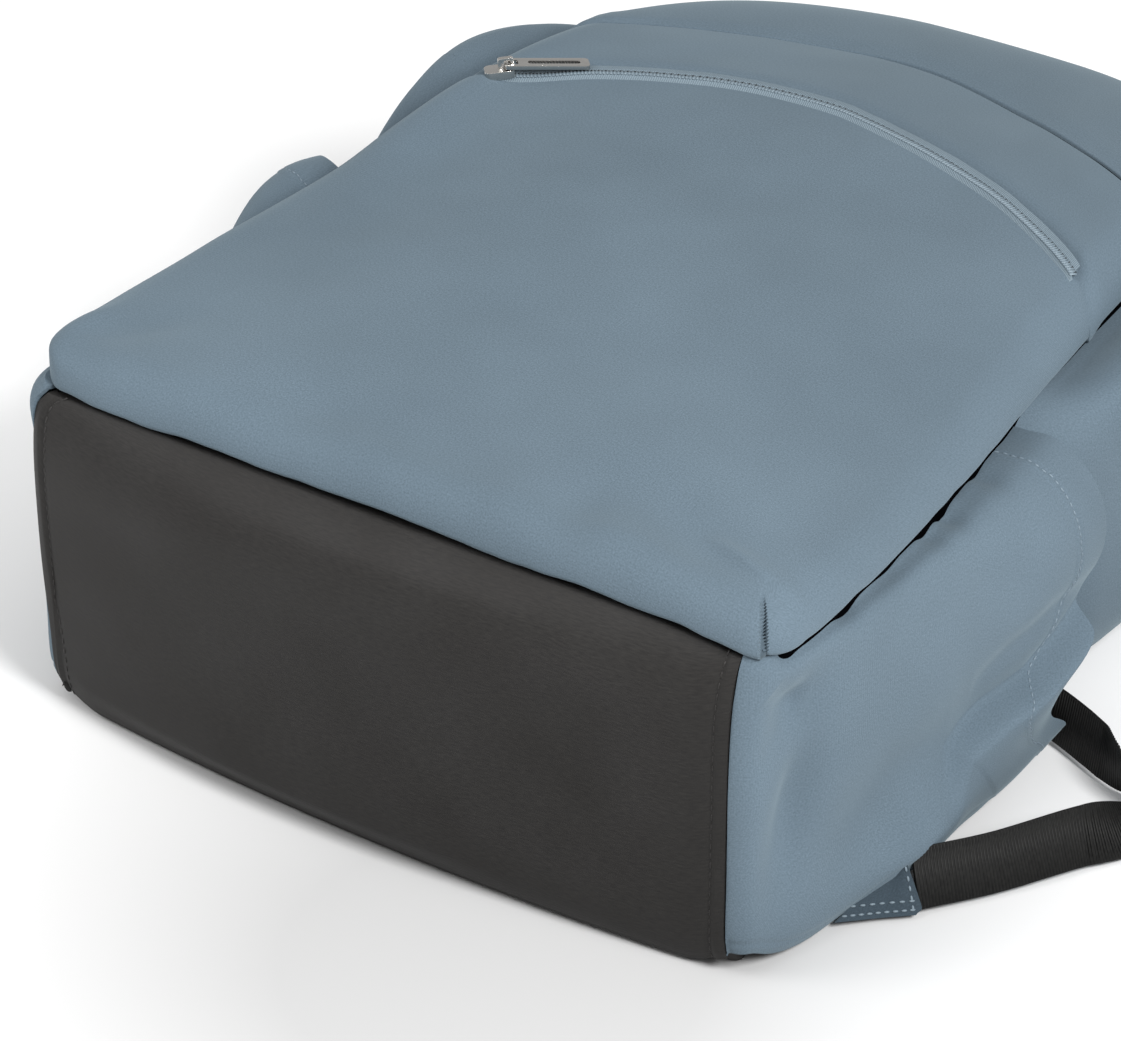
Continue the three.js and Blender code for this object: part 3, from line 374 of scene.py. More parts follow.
def path_tree(name, kind, lie, **shape):
    """Geometry Nodes tree that repeats one small shape along lines, lying along each line with
    its top facing the line's stored outward direction."""
    tree = bpy.data.node_groups.new(name, "GeometryNodeTree")
    for title, socket in (("Lines", "Geometry"), ("Pitch", "Float"), ("Size", "Vector"), ("Material", "Material")):
        tree.interface.new_socket(title, in_out="INPUT", socket_type="NodeSocket" + socket)
    tree.interface.new_socket("Repeats", in_out="OUTPUT", socket_type="NodeSocketGeometry")
    given = add_node(tree, "NodeGroupInput").outputs
    curve = add_node(tree, "GeometryNodeMeshToCurve", [(given["Lines"], "Mesh")])
    points = add_node(tree, "GeometryNodeCurveToPoints",
                      [(curve.outputs["Curve"], "Curve"), (given["Pitch"], "Length")], mode="LENGTH")
    out = add_node(tree, "GeometryNodeInputNamedAttribute", data_type="FLOAT_VECTOR", Name="out")
    ahead = add_node(tree, "FunctionNodeAlignRotationToVector", [(points.outputs["Tangent"], "Vector")], axis="X")
    facing = add_node(tree, "FunctionNodeAlignRotationToVector",
                      [(ahead.outputs["Rotation"], "Rotation"), (out.outputs["Attribute"], "Vector")],
                      axis="Z", pivot_axis="X")
    piece = add_node(tree, kind, **shape)
    laid = add_node(tree, "GeometryNodeTransform", [(piece.outputs["Mesh"], "Geometry")], Rotation=lie)
    sized = add_node(tree, "GeometryNodeTransform",
                     [(laid.outputs["Geometry"], "Geometry"), (given["Size"], "Scale")])
    placed = add_node(tree, "GeometryNodeInstanceOnPoints",
                      [(points.outputs["Points"], "Points"), (sized.outputs["Geometry"], "Instance"),
                       (facing.outputs["Rotation"], "Rotation")])
    real = add_node(tree, "GeometryNodeRealizeInstances", [(placed.outputs["Instances"], "Geometry")])
    soft = add_node(tree, "GeometryNodeSetShadeSmooth", [(real.outputs["Geometry"], "Geometry")])
    coloured = add_node(tree, "GeometryNodeSetMaterial",
                        [(soft.outputs["Geometry"], "Geometry"), (given["Material"], "Material")])
    add_node(tree, "NodeGroupOutput", [(coloured.outputs["Geometry"], "Repeats")])
    return tree


def applied(piece):
    """Piece with its modifiers made into a plain mesh."""
    made = bpy.data.meshes.new_from_object(piece.evaluated_get(bpy.context.evaluated_depsgraph_get()))
    piece.modifiers.clear()
    piece.data = made
    made.name = piece.name
    return piece


def along_paths(name, tree, paths, pitch, size, material):
    """Plain mesh of a path tree's shapes. Each path is its points and their outward directions."""
    points = np.concatenate([p for p, _ in paths])
    outward = np.concatenate([np.broadcast_to(o, p.shape) for p, o in paths])
    starts = np.cumsum([0] + [len(p) for p, _ in paths])
    edges = [(i, i + 1) for a, b in zip(starts[:-1], starts[1:]) for i in range(a, b - 1)]
    mesh = bpy.data.meshes.new(name + "_lines")
    mesh.from_pydata(((points + [0, TABLES_START, 0]) / 1000).tolist(), edges, [])
    directions = mesh.attributes.new("out", "FLOAT_VECTOR", "POINT").data
    directions.foreach_set("vector", outward.astype(np.float32).ravel())
    piece = in_scene(name, mesh)
    repeats = piece.modifiers.new("repeats", "NODES")
    repeats.node_group = tree
    values = {"Pitch": pitch / 1000, "Size": [s / 1000 for s in size], "Material": material}
    for socket in tree.interface.items_tree:
        if socket.name in values:
            repeats[socket.identifier] = values[socket.name]
    piece.update_tag()
    return applied(piece)


# Sewing thread: polyester with a slight shine, one dull colour broken by the ply's twist.
def thread_material(name, dark, light, **finish):
    material, tree, shader, _ = new_material(name, Roughness=0.6, **finish)
    place = add_node(tree, "ShaderNodeTexCoord").outputs["Object"]
    twist = add_node(tree, "ShaderNodeTexNoise", [(place, "Vector")], Scale=1800, Detail=1)
    ply = add_node(tree, "ShaderNodeValToRGB", [(twist.outputs["Fac"], "Fac")], ramp=((0, dark), (1, light)))
    tree.links.new(ply.outputs["Color"], shader.inputs["Base Color"])
    return material


stitch_tree = path_tree("stitches", "GeometryNodeMeshUVSphere", (0, 0, 0), Segments=8, Rings=5, Radius=0.5)
base_thread = thread_material("dark_thread", "#100e0d", "#1f1c1a")
base_normals = grid_normals(base_grid)
base_seams = []
for near in (along_base[40], along_base[40, -1] - along_base[40]):
    column = int(np.argmin(np.abs(near - BASE_STITCH_INSET)))
    base_seams.append((base_grid[:, column] + 0.05 * base_normals[:, column], base_normals[:, column]))
base_stitches = along_paths("base_stitches", stitch_tree, base_seams, *BASE_STITCH, base_thread)
fix_on(base_stitches)

SIDES = (("left", -1), ("right", 1))


def mirrored(grid, side):
    """Right-hand grid, or its left-hand copy."""
    return grid if side > 0 else grid[:, ::-1] * [-1, 1, 1]


# The coated twill also wraps under the two lower corners, where the pockets' hems stand clear
for name, side in SIDES:
    run = np.linspace(0.5, 2.15, 60)[None]
    wrap_x, wrap_y = outline_point(run, outline_at(POCKET_OUTLINES, np.float64(0)))
    rise = np.linspace(0, 1, 12)[:, None]
    wrap_grid = np.stack([wrap_x + 0 * rise, wrap_y + 0 * rise, mix(0.7, back_seam_z(run) + 1.5, rise)], -1)
    wrap_grid = pushed(wrap_grid, -2.2 - 2.5 * (1 - rise) ** 2 - 8 * smoothstep(run, 0.9, 1.15) * (1 - rise))
    wrap = cloth_sheet(f"base_wrap_{name}", mirrored(wrap_grid, side), 1.0, coated_twill)
    fix_on(wrap)

# Side pockets. The same blue-grey cloth as the body, cut to wrap the base corner and left open
# towards the top. The mouth is hemmed with one row of stitches and falls in folds onto the strap.

POCKET_CLOTH = 1.6
MOUTH_DEPTHS = [0, 0.06, 0.14, 0.22, 0.3, 0.36, 0.42, 0.6, 0.84, 1]
MOUTHS = {
    -1: [165, 161, 157, 158, 182, 193, 199, 201, 190, 173],
    1: [165, 163, 152, 145, 141, 152, 164, 173, 170, 167],
}
MOUTH_FLARE = 5
FLARE_FROM = 95
HEM = 18
HEM_STITCH = (2.9, (2.0, 0.6, 0.5))
SIDE_HEIGHT = 118
# How far the pockets' upper edges stand up at the base corners to meet the front panel
LEFT_CORNER_RISE = 6
RIGHT_CORNER_RISE = 2.6
SIDE_FOLDS = [
    (18, 94, 50, 16, 9, -7),
    (17, 56, 80, 30, 9, -8),
    (66, 46, 12, 40, 14, -3),
    (112, 96, -30, 26, 10, -3),
    (158, 22, 0, 28, 17, -9),
    (72, 18, 8, 26, 11, 11),
]
LEFT_FOLDS = [(168, 112, 6, 36, 12, 26), (17, 112, 0, 12, 9, 11)]
# The hem lifts off the floor where the strap comes out under it: share of the pocket's height
HEM_RISE = 0.075
# Sharper creases, each a line of (Y, Z) on the side, with its half-width and height
SIDE_CREASES = [
    ([(104, 60), (122, 66), (145, 68), (176, 66)], 6, -2.4),
    ([(6, 106), (12, 99), (22, 95)], 6, -4),
]
# The fold from the mouth down to the strap: above it the cloth runs in, below it stands out
LONG_FOLD = [(84, 14), (88, 24), (97, 38), (115, 43), (136, 45), (174, 58)]
LONG_FOLD_IN = {"depth": 11, "fade": 18}
LONG_FOLD_OUT = {"height": 4, "fade": 30}
# Puckers where the pockets and the front panel are gathered into the seam: Y, half-width, depth
SEAM_PUCKERS = [(14, 4, 1.4), (45, 5, 3.4), (72, 7, 0.8), (98, 5, 2.0),
                (111, 5, 3.0), (136, 5, 2.2), (160, 7, 1.0), (184, 8, 1.2)]


def off_line(a, b, line):
    """Distance from a line drawn on a panel, more than 0 on its left, and the share along it."""
    line = np.asarray(line, float)
    legs = np.diff(line, axis=0)
    lengths = np.hypot(legs[:, 0], legs[:, 1])
    starts = np.cumsum(lengths) - lengths
    nearest = np.full(np.shape(a), 1e9)
    share = np.zeros(np.shape(a))
    for (at_a, at_b), (leg_a, leg_b), length, start in zip(line, legs, lengths, starts):
        t = np.clip(((a - at_a) * leg_a + (b - at_b) * leg_b) / length**2, 0, 1)
        off_a, off_b = a - at_a - t * leg_a, b - at_b - t * leg_b
        distance = np.hypot(off_a, off_b)
        closer = distance < np.abs(nearest)
        share = np.where(closer, (start + t * length) / lengths.sum(), share)
        nearest = np.where(closer, np.where(leg_a * off_b - leg_b * off_a < 0, -distance, distance), nearest)
    return nearest, share


def crease_depth(a, b, line, width, height):
    """Fold along a line drawn on a panel, running out at both ends."""
    distance, share = off_line(a, b, line)
    return height * bell(distance, width) * np.sin(np.pi * share) ** 0.6


def long_fold_depth(a, b):
    """The pocket's long fold, strongest at the mouth."""
    distance, share = off_line(a, b, LONG_FOLD)
    above = -LONG_FOLD_IN["depth"] * np.exp(-np.clip(distance, 0, None) / LONG_FOLD_IN["fade"])
    below = LONG_FOLD_OUT["height"] * np.exp(-np.clip(-distance, 0, None) / LONG_FOLD_OUT["fade"])
    return mix(below, above, smoothstep(distance, -2, 5)) * smoothstep(share, 0, 0.4) * bell(distance, 40)


def pucker_depth(y):
    """Depth of the gathers along the front seam."""
    return sum(depth * bell(y - at, width) for at, width, depth in SEAM_PUCKERS) + 0.4 * wander(y, 0, 11, 5)


def near_seam(v, width):
    """1 at the front seam, fading over a width down the side."""
    return bell((1 - v) * SIDE_HEIGHT, width)


def seam_roll(v):
    """How far the cloth of the sides runs in towards the front seam."""
    return 3.8 * near_seam(v, 4.2)


def eased(grid, column, spread, rounds):
    """Grid smoothed along its rows about one column, where a corner runs into a side."""
    share = 0.5 * bell(np.arange(grid.shape[1])[1:-1] - column, spread)[None, :, None]
    for _ in range(rounds):
        inner = mix(grid[:, 1:-1], (grid[:, :-2] + grid[:, 2:]) / 2, share)
        grid = np.concatenate([grid[:, :1], inner, grid[:, -1:]], 1)
    return grid


# Blue-grey polyester: matte plain weave, each thread a slightly different grey, softer and paler
# at grazing angles. The 0.5 mm weave is drawn at 0.9 mm so that it shows.
cloth, tree, shader, uv = new_material(
    "woven_polyester", Roughness=0.9, Specular_IOR_Level=0.2,
    Sheen_Weight=0.18, Sheen_Roughness=0.5, Sheen_Tint=colour("#c3d6dd"))
speckle = add_node(tree, "ShaderNodeTexNoise", [(uv, "Vector")], Scale=1500, Detail=2, Roughness=0.6)
heather = add_node(tree, "ShaderNodeValToRGB", [(speckle.outputs["Fac"], "Fac")],
                   ramp=((0.28, "#51606a"), (0.74, "#647481")))
wear = add_node(tree, "ShaderNodeTexNoise", [(uv, "Vector")], Scale=10, Detail=3, Roughness=0.55)
toned = add_node(tree, "ShaderNodeHueSaturation",
                 [(heather.outputs["Color"], "Color"), (wear.outputs["Fac"], "Value")], Saturation=0.95)
faint = add_node(tree, "ShaderNodeMix", [(heather.outputs["Color"], 6), (toned.outputs["Color"], 7)],
                 data_type="RGBA")
faint.inputs[0].default_value = 0.4
tree.links.new(faint.outputs[2], shader.inputs["Base Color"])
warp = add_node(tree, "ShaderNodeTexWave", [(uv, "Vector")], bands_direction="X", Scale=349, Distortion=0.4)
weft = add_node(tree, "ShaderNodeTexWave", [(uv, "Vector")], bands_direction="Y", Scale=349, Distortion=0.4)
weave = add_node(tree, "ShaderNodeMath", [(warp.outputs["Fac"], 0), (weft.outputs["Fac"], 1)],
                 operation="MULTIPLY")
relief = add_node(tree, "ShaderNodeBump", [(weave.outputs["Value"], "Height")], Strength=0.2, Distance=0.0002)
tree.links.new(relief.outputs["Normal"], shader.inputs["Normal"])

blue_thread = thread_material("blue_thread", "#55636d", "#74828d")
POCKET_DEPTHS = spans((0, 0.16, 18), (0.16, 0.82, 60), (0.82, 1, 26))
POCKET_ALONG = spans((1.01, 2, 24), (2, 2.86, 110), (2.86, 3, 28))


def mouth_y(v, side):
    return table(v, MOUTH_DEPTHS, MOUTHS[side])


for name, side in SIDES:
    v = POCKET_DEPTHS[:, None]
    end = station_at(mouth_y(v, side), outline_at(POCKET_OUTLINES, v))
    start = 1.005 if side > 0 else base_left(v) - 0.01
    corner = mix(start, 2, np.clip(POCKET_ALONG[None] - 1, 0, 1))
    along = np.where(POCKET_ALONG[None] <= 2, corner, mix(2, end, POCKET_ALONG[None] - 2))
    y = pocket_point(along, v)[..., 1]
    v = mix(v, 1, HEM_RISE * smoothstep(y, 40, 60) * (1 - 0.5 * smoothstep(y, 92, 122)))
    grid = pocket_point(along, v)
    grid[..., 2] -= 0.8 * smoothstep(v, 0.95, 1) + (seam_dip(grid[..., 0], grid[..., 1]) if side > 0 else 0) * v**6
    grid[..., 2] += LEFT_CORNER_RISE * (side < 0) * bell(grid[..., 1] - 14, 12) * smoothstep(v, 0.8, 1)
    grid[..., 2] += RIGHT_CORNER_RISE * (side > 0) * (1 - smoothstep(along, 1.5, 2.06)) * smoothstep(v, 0.9, 1)
    grid = eased(grid, 23, 9, 40)
    smooth = mirrored(grid, side)
    y, z = grid[..., 1], grid[..., 2]
    folds = fold_depth(SIDE_FOLDS + (LEFT_FOLDS if side < 0 else []), y, z) + long_fold_depth(y, z)
    folds = folds + MOUTH_FLARE * smoothstep(y, FLARE_FROM, mouth_y(v, side)) + 0.5 * wander(y, z, 26, 7)
    folds = folds + sum(crease_depth(y, z, *crease) for crease in SIDE_CREASES)
    to_mouth = np.linalg.norm(grid - grid[:, -1:], axis=-1)
    hem = 0.5 * (1 - smoothstep(to_mouth, HEM - 1, HEM + 0.6)) - 0.4 * bell(to_mouth - HEM + 2, 0.9)
    foot_hem = -0.5 * bell(z - z[0] - 3.6, 0.8)
    gathers = pucker_depth(y) * (POCKET_ALONG[None] > 1.2)
    depth = folds * np.sin(np.pi * v) ** 0.5 + hem + foot_hem - seam_roll(v) * smoothstep(along, 1.2, 2.06)
    grid = pushed(grid, depth - gathers * near_seam(v, 5.5))
    grid = mirrored(grid, side)
    pocket = cloth_sheet(f"pocket_{name}", turned_in(grid, 2.6, 7, -0.8, smooth), POCKET_CLOTH, cloth)
    fix_on(pocket, f"side_pocket_{name}")
    normals = grid_normals(grid)
    share = np.abs(to_mouth[:, ::side] - HEM + 2).argmin(1)
    rows = np.arange(len(grid))
    hem_line = (grid[rows, share] + 0.1 * normals[rows, share], normals[rows, share])
    hem_stitches = along_paths(f"pocket_stitches_{name}", stitch_tree, [hem_line], *HEM_STITCH, blue_thread)
    fix_on(hem_stitches)

# Side panels. Padded body walls of the same cloth, sewn into the back and front seams. They stand
# inside the pockets below and show above them, puffed out beside the front zip.

PANEL_CLOTH = 2.0
BODY_OUTLINES = {
    "back": {"half": "back", "low": 9, "bow": 0, "high": 424, "corner": 10, "crest": 92, "tuck": 4, "turn": 5},
    "middle": {"half": "body", "low": 3, "bow": 0, "high": 440, "corner": 12, "crest": 104, "tuck": 0},
    "front": {"half": "front", "low": 9, "bow": 0, "high": 419.5, "corner": 14, "crest": 89.5, "tuck": 3},
}
BODY_FOLDS = [(278, 117, 0, 80, 14, 26)]
TOP_BAND_START = 262
POCKET_RECESS = 12


def body_point(station, v):
    """Point of the body wall, which steps in behind the pockets."""
    station, v = np.broadcast_arrays(np.asarray(station, float), np.asarray(v, float))
    x, y = outline_point(station, outline_at(BODY_OUTLINES, v))
    low = back_seam_z(station) + 0.3 + 6.4 * tuck_at(y)
    high = front_seam_z(y) - 0.3 - 10 * (1 - smoothstep(y, 140, 170)) + 0.8 * smoothstep(y, 196, 225)
    return np.stack([x, y, mix(low, high, v)], -1)


def body_folded(grid, v):
    """Body grid with its puffed shoulder, which fades at the front seam. Behind the pocket the wall
    is set in, so that it never shows through the pocket's folds."""
    y, z = grid[..., 1], grid[..., 2]
    shoulder = fold_depth(BODY_FOLDS, y, z) * (1 - smoothstep(v, 0.9, 0.995))
    valley = 2.5 * near_seam(v, 12) * smoothstep(y, 200, 250)
    covered = 1 - smoothstep(y + 14 * smoothstep(z, 70, 95), 156, 200)
    behind = POCKET_RECESS * covered * np.sin(np.pi * np.clip(v, 0.05, 0.8)) ** 0.5
    return pushed(grid, (shoulder + 0.5 * wander(y, z, 30, 11) - seam_roll(v) - valley) * (1 - tuck_at(y)) - behind)


PANEL_DEPTHS = spans((0, 0.12, 10), (0.12, 0.6, 30), (0.6, 1, 40))
PANEL_ALONG = spans((1.03, 2, 14), (2, 3, 100))

for name, side in SIDES:
    v = PANEL_DEPTHS[:, None]
    end = station_at(TOP_BAND_START, outline_at(BODY_OUTLINES, v))
    along = np.where(PANEL_ALONG[None] <= 2, PANEL_ALONG[None], mix(2, end, PANEL_ALONG[None] - 2))
    grid = mirrored(body_folded(body_point(along, v), v), side)
    panel = cloth_sheet(f"body_side_{name}", turned_in(grid, 0, 6, -0.8), PANEL_CLOTH, cloth)
    fix_on(panel, f"side_panel_{name}")

# Front pocket panel. One large piece of the cloth, boxed at its left lower corner and darted at
# its right one. The edge rolls out over the base and the pockets and is sewn in underneath.

FRONT_CLOTH = 1.6
PUFF_LENGTHS = [0, 60, 120, 160, 200, 250, 290, 345]
EDGE_PUFF = [16, 12, 12, 15, 18, 19, 18, 13]
CROWN_PUFF = [4, 10, 12, 9, 6, 4, 4, 6]
ROLL = 15
ROLL_LEAN = math.radians(30)
CURL = 7
CURL_START = math.radians(-85)
EDGE_SHARE = 0.18
LIP_SHARE = 0.12
# Rows of the panel's grid in its rolled edge
EDGE_ROWS = 40
LIP_GAP = 0.4
FRONT_FOLDS = [
    (104, 24, 150, 34, 11, -3.2),
    (60, 34, 165, 50, 14, -1.6),
    (-42, 14, 5, 26, 15, -3.4),
    (14, 17, 170, 32, 18, -3.8),
    (62, 16, 120, 18, 14, -3.6),
    (-120, 30, 60, 26, 10, -1.6),
    (10, 150, 95, 110, 60, -2.2),
    (-139, 24, 80, 16, 6, 3),
    (-124, 205, 96, 60, 14, 6),
]
# Ridge that runs over the end of the right dart to the side seam
FRONT_CREASES = [([(104, 30), (116, 26), (129, 21.5), (140, 19.5), (156, 18)], 2.8, 2.6)]
DART_LAP = 1
DART_STEP = 0.6
DART_GROOVE = 3.4
DART_SHIFT = 4
LEFT_PULL = 3
ZIP_PEAK = 281
ZIP_DROP = 60
ZIP_HALF = 128
ZIP_BEND = {"left": 2.2, "right": 1.6}


def rolled_edge(share):
    """Inset and lift, 0 to 1, of an edge that curls out from under itself, up and over."""
    angle = mix(CURL_START, math.pi / 2, np.clip(share, 0, 1))
    stand_out = ROLL * (1 - math.cos(ROLL_LEAN))
    inset = np.where(angle < 0, CURL, ROLL) * (1 - np.cos(angle)) - stand_out
    lift = np.where(angle < 0, (1 + np.sin(angle)) / 5, (0.25 + np.sin(angle)) / 1.25)
    return inset, lift


def front_half(y):
    """Half-width of the front seam."""
    o = outline_at(POCKET_OUTLINES, np.float64(1))
    start = o["low"] + o["corner"]
    turn = np.arccos(np.clip((start - y) / o["corner"], 0, 1))
    return np.where(y >= start, o["half"](y), mix(BASE_HALF, o["half"](start), np.sin(turn)))


def front_folds(x, y):
    """Folds, dart and soft unevenness of the front."""
    creases = sum(crease_depth(x, y, *crease) for crease in FRONT_CREASES)
    return fold_depth(FRONT_FOLDS, x, y) + creases + 1.3 * wander(x, y, 55, 13) + 0.25 * wander(x, y, 20, 17)


def lip_wave(x):
    """Unevenness of the lip where it is sewn to the base."""
    return 0.9 * wander(x, 0, 19, 19) + 0.4 * wander(x, 0, 8, 23)


def edge_gathers(inside, y):
    """Gathers of the panel's side edges, a third as deep as the pockets'."""
    return 0.3 * pucker_depth(y) * bell(inside, 0.07) * smoothstep(y, 18, 30)


def front_skin(place, y):
    """Point of the front skin at a place across it, -1 to 1."""
    half = front_half(y)
    inside = 1 - np.abs(place)
    rolled, lift = rolled_edge(inside / EDGE_SHARE)
    reach = ROLL * math.cos(ROLL_LEAN)
    inset = np.where(inside < EDGE_SHARE, rolled, mix(reach, half, (inside - EDGE_SHARE) / (1 - EDGE_SHARE)))
    x = np.sign(place) * (half - inset)
    puff = table(y, PUFF_LENGTHS, EDGE_PUFF) * lift + table(y, PUFF_LENGTHS, CROWN_PUFF) * (1 - place**2)
    folds = front_folds(x, y) * lift
    gathers = edge_gathers(inside, y)
    return np.stack([x - np.sign(place) * 0.6 * gathers, y + 0 * x,
                     front_seam_z(y) + LIP_GAP + puff + folds + gathers], -1)


def zip_arc(x):
    bend = np.where(x < 0, ZIP_BEND["left"], ZIP_BEND["right"])
    return ZIP_PEAK - ZIP_DROP * np.abs(x / ZIP_HALF) ** bend


def zip_y(x):
    """Line of the zip: its arc, sagging a little right of the middle."""
    return zip_arc(x) - 4.2 * bell(x - 30, 44)


def zip_share(x):
    """1 along the zip, 0 beyond its two ends, where the panels meet in a seam."""
    return smoothstep(x, -119, -112) * (1 - smoothstep(x, 116, 122))


def front_edge_y(x):
    """Upper edge of the front panel."""
    return zip_y(x) - 0.3 - 4.3 * zip_share(x)


def skin_on_line(place, line):
    """Points of the front skin along a line Y(x) drawn on it."""
    y = line(place * ZIP_HALF)
    for _ in range(4):
        y = line(front_skin(place, y)[..., 0])
    return front_skin(place, y)


half_across = 1 - spans((0, EDGE_SHARE, EDGE_ROWS), (EDGE_SHARE, 0.28, 14), (0.28, 1, 62))
FRONT_ACROSS = np.concatenate([-half_across, half_across[-2::-1]])[None]
FRONT_UP = spans((0, LIP_SHARE, EDGE_ROWS), (LIP_SHARE, 0.17, 14), (0.17, 1, 104))[:, None]
CORNER_SHARE = 0.06


def spread_out(grid, row, column, reach, rounds):
    """Grid smoothed both ways about one point, where its rows and columns crowd together."""
    down, over = np.arange(grid.shape[0])[1:-1, None], np.arange(grid.shape[1])[None, 1:-1]
    share = 0.6 * np.exp(-((down - row) ** 2 + (over - column) ** 2) / reach**2)[..., None]
    for _ in range(rounds):
        around = (grid[:-2, 1:-1] + grid[2:, 1:-1] + grid[1:-1, :-2] + grid[1:-1, 2:]) / 4
        grid = grid.copy()
        grid[1:-1, 1:-1] = mix(grid[1:-1, 1:-1], around, share)
    return grid


def front_panel_grid():
    """Front panel: rings of the rolled edge follow the base, the rounded corners and the sides,
    and the field inside them is spread evenly up to the zip."""
    o = outline_at(POCKET_OUTLINES, np.float64(1))
    low, corner = o["low"], o["corner"]
    side = np.sign(FRONT_ACROSS)
    inside = 1 - np.abs(FRONT_ACROSS)
    ring = np.minimum(inside / EDGE_SHARE, FRONT_UP / LIP_SHARE)
    lip = FRONT_UP / LIP_SHARE <= inside / EDGE_SHARE
    inset, lift = rolled_edge(ring)
    reach = ROLL * math.cos(ROLL_LEAN)
    ring = np.clip(ring, 0, 1)
    across = np.abs(FRONT_ACROSS) / (1 - ring * EDGE_SHARE)
    upward = np.clip((FRONT_UP - ring * LIP_SHARE) / (1 - ring * LIP_SHARE), 0, 1)
    straight = 1 - CORNER_SHARE
    lip_turn = np.clip((across - straight) / CORNER_SHARE, 0, 1) * math.pi / 4
    side_turn = math.pi / 4 + np.clip(upward / CORNER_SHARE, 0, 1) * math.pi / 4
    turn = np.where(lip, lip_turn, side_turn)
    top_y = skin_on_line(FRONT_ACROSS, front_edge_y)[..., 1]
    side_y = mix(low + corner, top_y, np.clip((upward - CORNER_SHARE) / straight, 0, 1))
    start_half = o["half"](low + corner)
    seam_x = np.where(lip, np.minimum(across / straight, 1) * BASE_HALF, front_half(side_y))
    turning = turn < math.pi / 2 - 1e-6
    seam_x = np.where(turning & (turn > 0), mix(BASE_HALF, start_half, np.sin(turn)), seam_x)
    seam_y = np.where(turning, low + corner - corner * np.cos(turn), side_y)
    boxed = (side < 0) * bell(seam_y - 12, 14) * smoothstep(seam_x, 110, 140)
    inset = mix(inset, np.maximum(inset, 1), boxed)
    lift = mix(lift, np.clip(lift, 0, None) ** 0.75, boxed)
    x = seam_x - np.sin(turn) * inset
    y = seam_y + np.cos(turn) * inset
    field = (FRONT_UP - LIP_SHARE) / (1 - LIP_SHARE)
    ring_y = np.where(turning, low + corner + (reach - corner) * np.cos(turn), side_y)
    field_y = mix(mix(low + reach, top_y, np.clip(field, 0, 1)), ring_y, smoothstep(across, 0.75, 1))
    inner_half = front_half(np.maximum(field_y, low + corner)) - reach
    gathered = 1 - smoothstep(field, 0, 0.2)
    field_x = inner_half * mix(across, np.minimum(across / straight, 1), gathered)
    in_field = (inside >= EDGE_SHARE) & (FRONT_UP >= LIP_SHARE)
    x, y = side * np.where(in_field, field_x, x), np.where(in_field, field_y, y)
    lip_lift = rolled_edge(FRONT_UP / LIP_SHARE)[1]
    crown = table(y, PUFF_LENGTHS, CROWN_PUFF) * (1 - FRONT_ACROSS**2) * lip_lift
    folds = front_folds(x, y) * lift
    gathers = edge_gathers(inside, y)
    x = x - side * 0.6 * gathers + LEFT_PULL * (side < 0) * bell(y - 3, 11) * smoothstep(-x, 90, 135)
    wave = lip_wave(x) * bell(FRONT_UP, 0.6 * LIP_SHARE) * smoothstep(inside, 0.02, 0.12)
    z = front_seam_z(y) + LIP_GAP + table(y, PUFF_LENGTHS, EDGE_PUFF) * lift + crown + folds + gathers + wave
    z = z - seam_dip(x, y) * (1 - 0.6 * lift)
    grid = np.stack([x, y, z], -1)
    for column in (EDGE_ROWS, grid.shape[1] - EDGE_ROWS - 1):
        grid = spread_out(grid, EDGE_ROWS, column, 12, 40)
    # Dart down the right corner's diagonal: the cloth of the lip laps over the cloth of the side
    depth = np.zeros(z.shape)
    for apart in range(-30, 31):
        rows = np.arange(max(apart - DART_SHIFT, 0), EDGE_ROWS)
        step = DART_LAP * math.exp(apart / 9) if apart < 0 else -DART_STEP * math.exp(-apart / 12)
        step = step if apart else -DART_GROOVE
        depth[rows, apart - DART_SHIFT - 1 - rows] = step * smoothstep(rows, 0, 6) * (1 - smoothstep(rows, 30, 38))
    return pushed(grid, depth)


front_grid = front_panel_grid()
front_panel = cloth_sheet("front_panel", front_grid, FRONT_CLOTH, cloth)
fix_on(front_panel, "front_pocket_panel")

# A near-black sheet stands inside the front seam as painted shade: it makes the dark line of shadow under the
# panel's edge
shadow_paint = thread_material("painted_seam_shadow", "#020203", "#060607", Specular_IOR_Level=0)
for name, side in SIDES:
    run = spans((1.002 if side > 0 else 1.4, 2, 40), (2, 3, 160), (3, 5, 60))[None]
    shadow_x, shadow_y = outline_point(run, outline_at(POCKET_OUTLINES, np.float64(1)))
    rise = np.linspace(0, 1, 6)[:, None]
    shadow_z = front_seam_z(shadow_y) + mix(-7, 1, rise) - (seam_dip(shadow_x, shadow_y) if side > 0 else 0)
    shadow_grid = np.stack([shadow_x + 0 * rise, shadow_y + 0 * rise, shadow_z], -1)
    shadow_grid = pushed(shadow_grid, -2.6 + 0 * shadow_z)
    seam_shadow_piece = cloth_sheet(f"seam_painted_shadow_{name}", mirrored(shadow_grid, side), 0.8, shadow_paint)
    fix_on(seam_shadow_piece)

# Front zip. Reversed nylon coil behind a woven tape, paler than the cloth. The tape stands a little
# proud; ribs of the coil show on its lower half and a row of dark stitches runs along its middle.

ZIP_TAPE = 1.2
TEETH_PITCH = 1.3
ZIP_STITCH = (2.6, (1.8, 0.8, 0.7))

# Zip tape: pale blue-grey herringbone, drawn as fine ribs across the tape 0.8 mm apart.
zip_tape, tree, shader, uv = new_material("zip_tape", Roughness=0.75)
ribs = add_node(tree, "ShaderNodeTexWave", [(uv, "Vector")], bands_direction="X", Scale=393, Distortion=1.5)
ribbed = add_node(tree, "ShaderNodeValToRGB", [(ribs.outputs["Fac"], "Fac")],
                  ramp=((0, "#55636d"), (1, "#707f88")))
tree.links.new(ribbed.outputs["Color"], shader.inputs["Base Color"])
relief = add_node(tree, "ShaderNodeBump", [(ribs.outputs["Fac"], "Height")], Strength=0.5, Distance=0.0003)
tree.links.new(relief.outputs["Normal"], shader.inputs["Normal"])

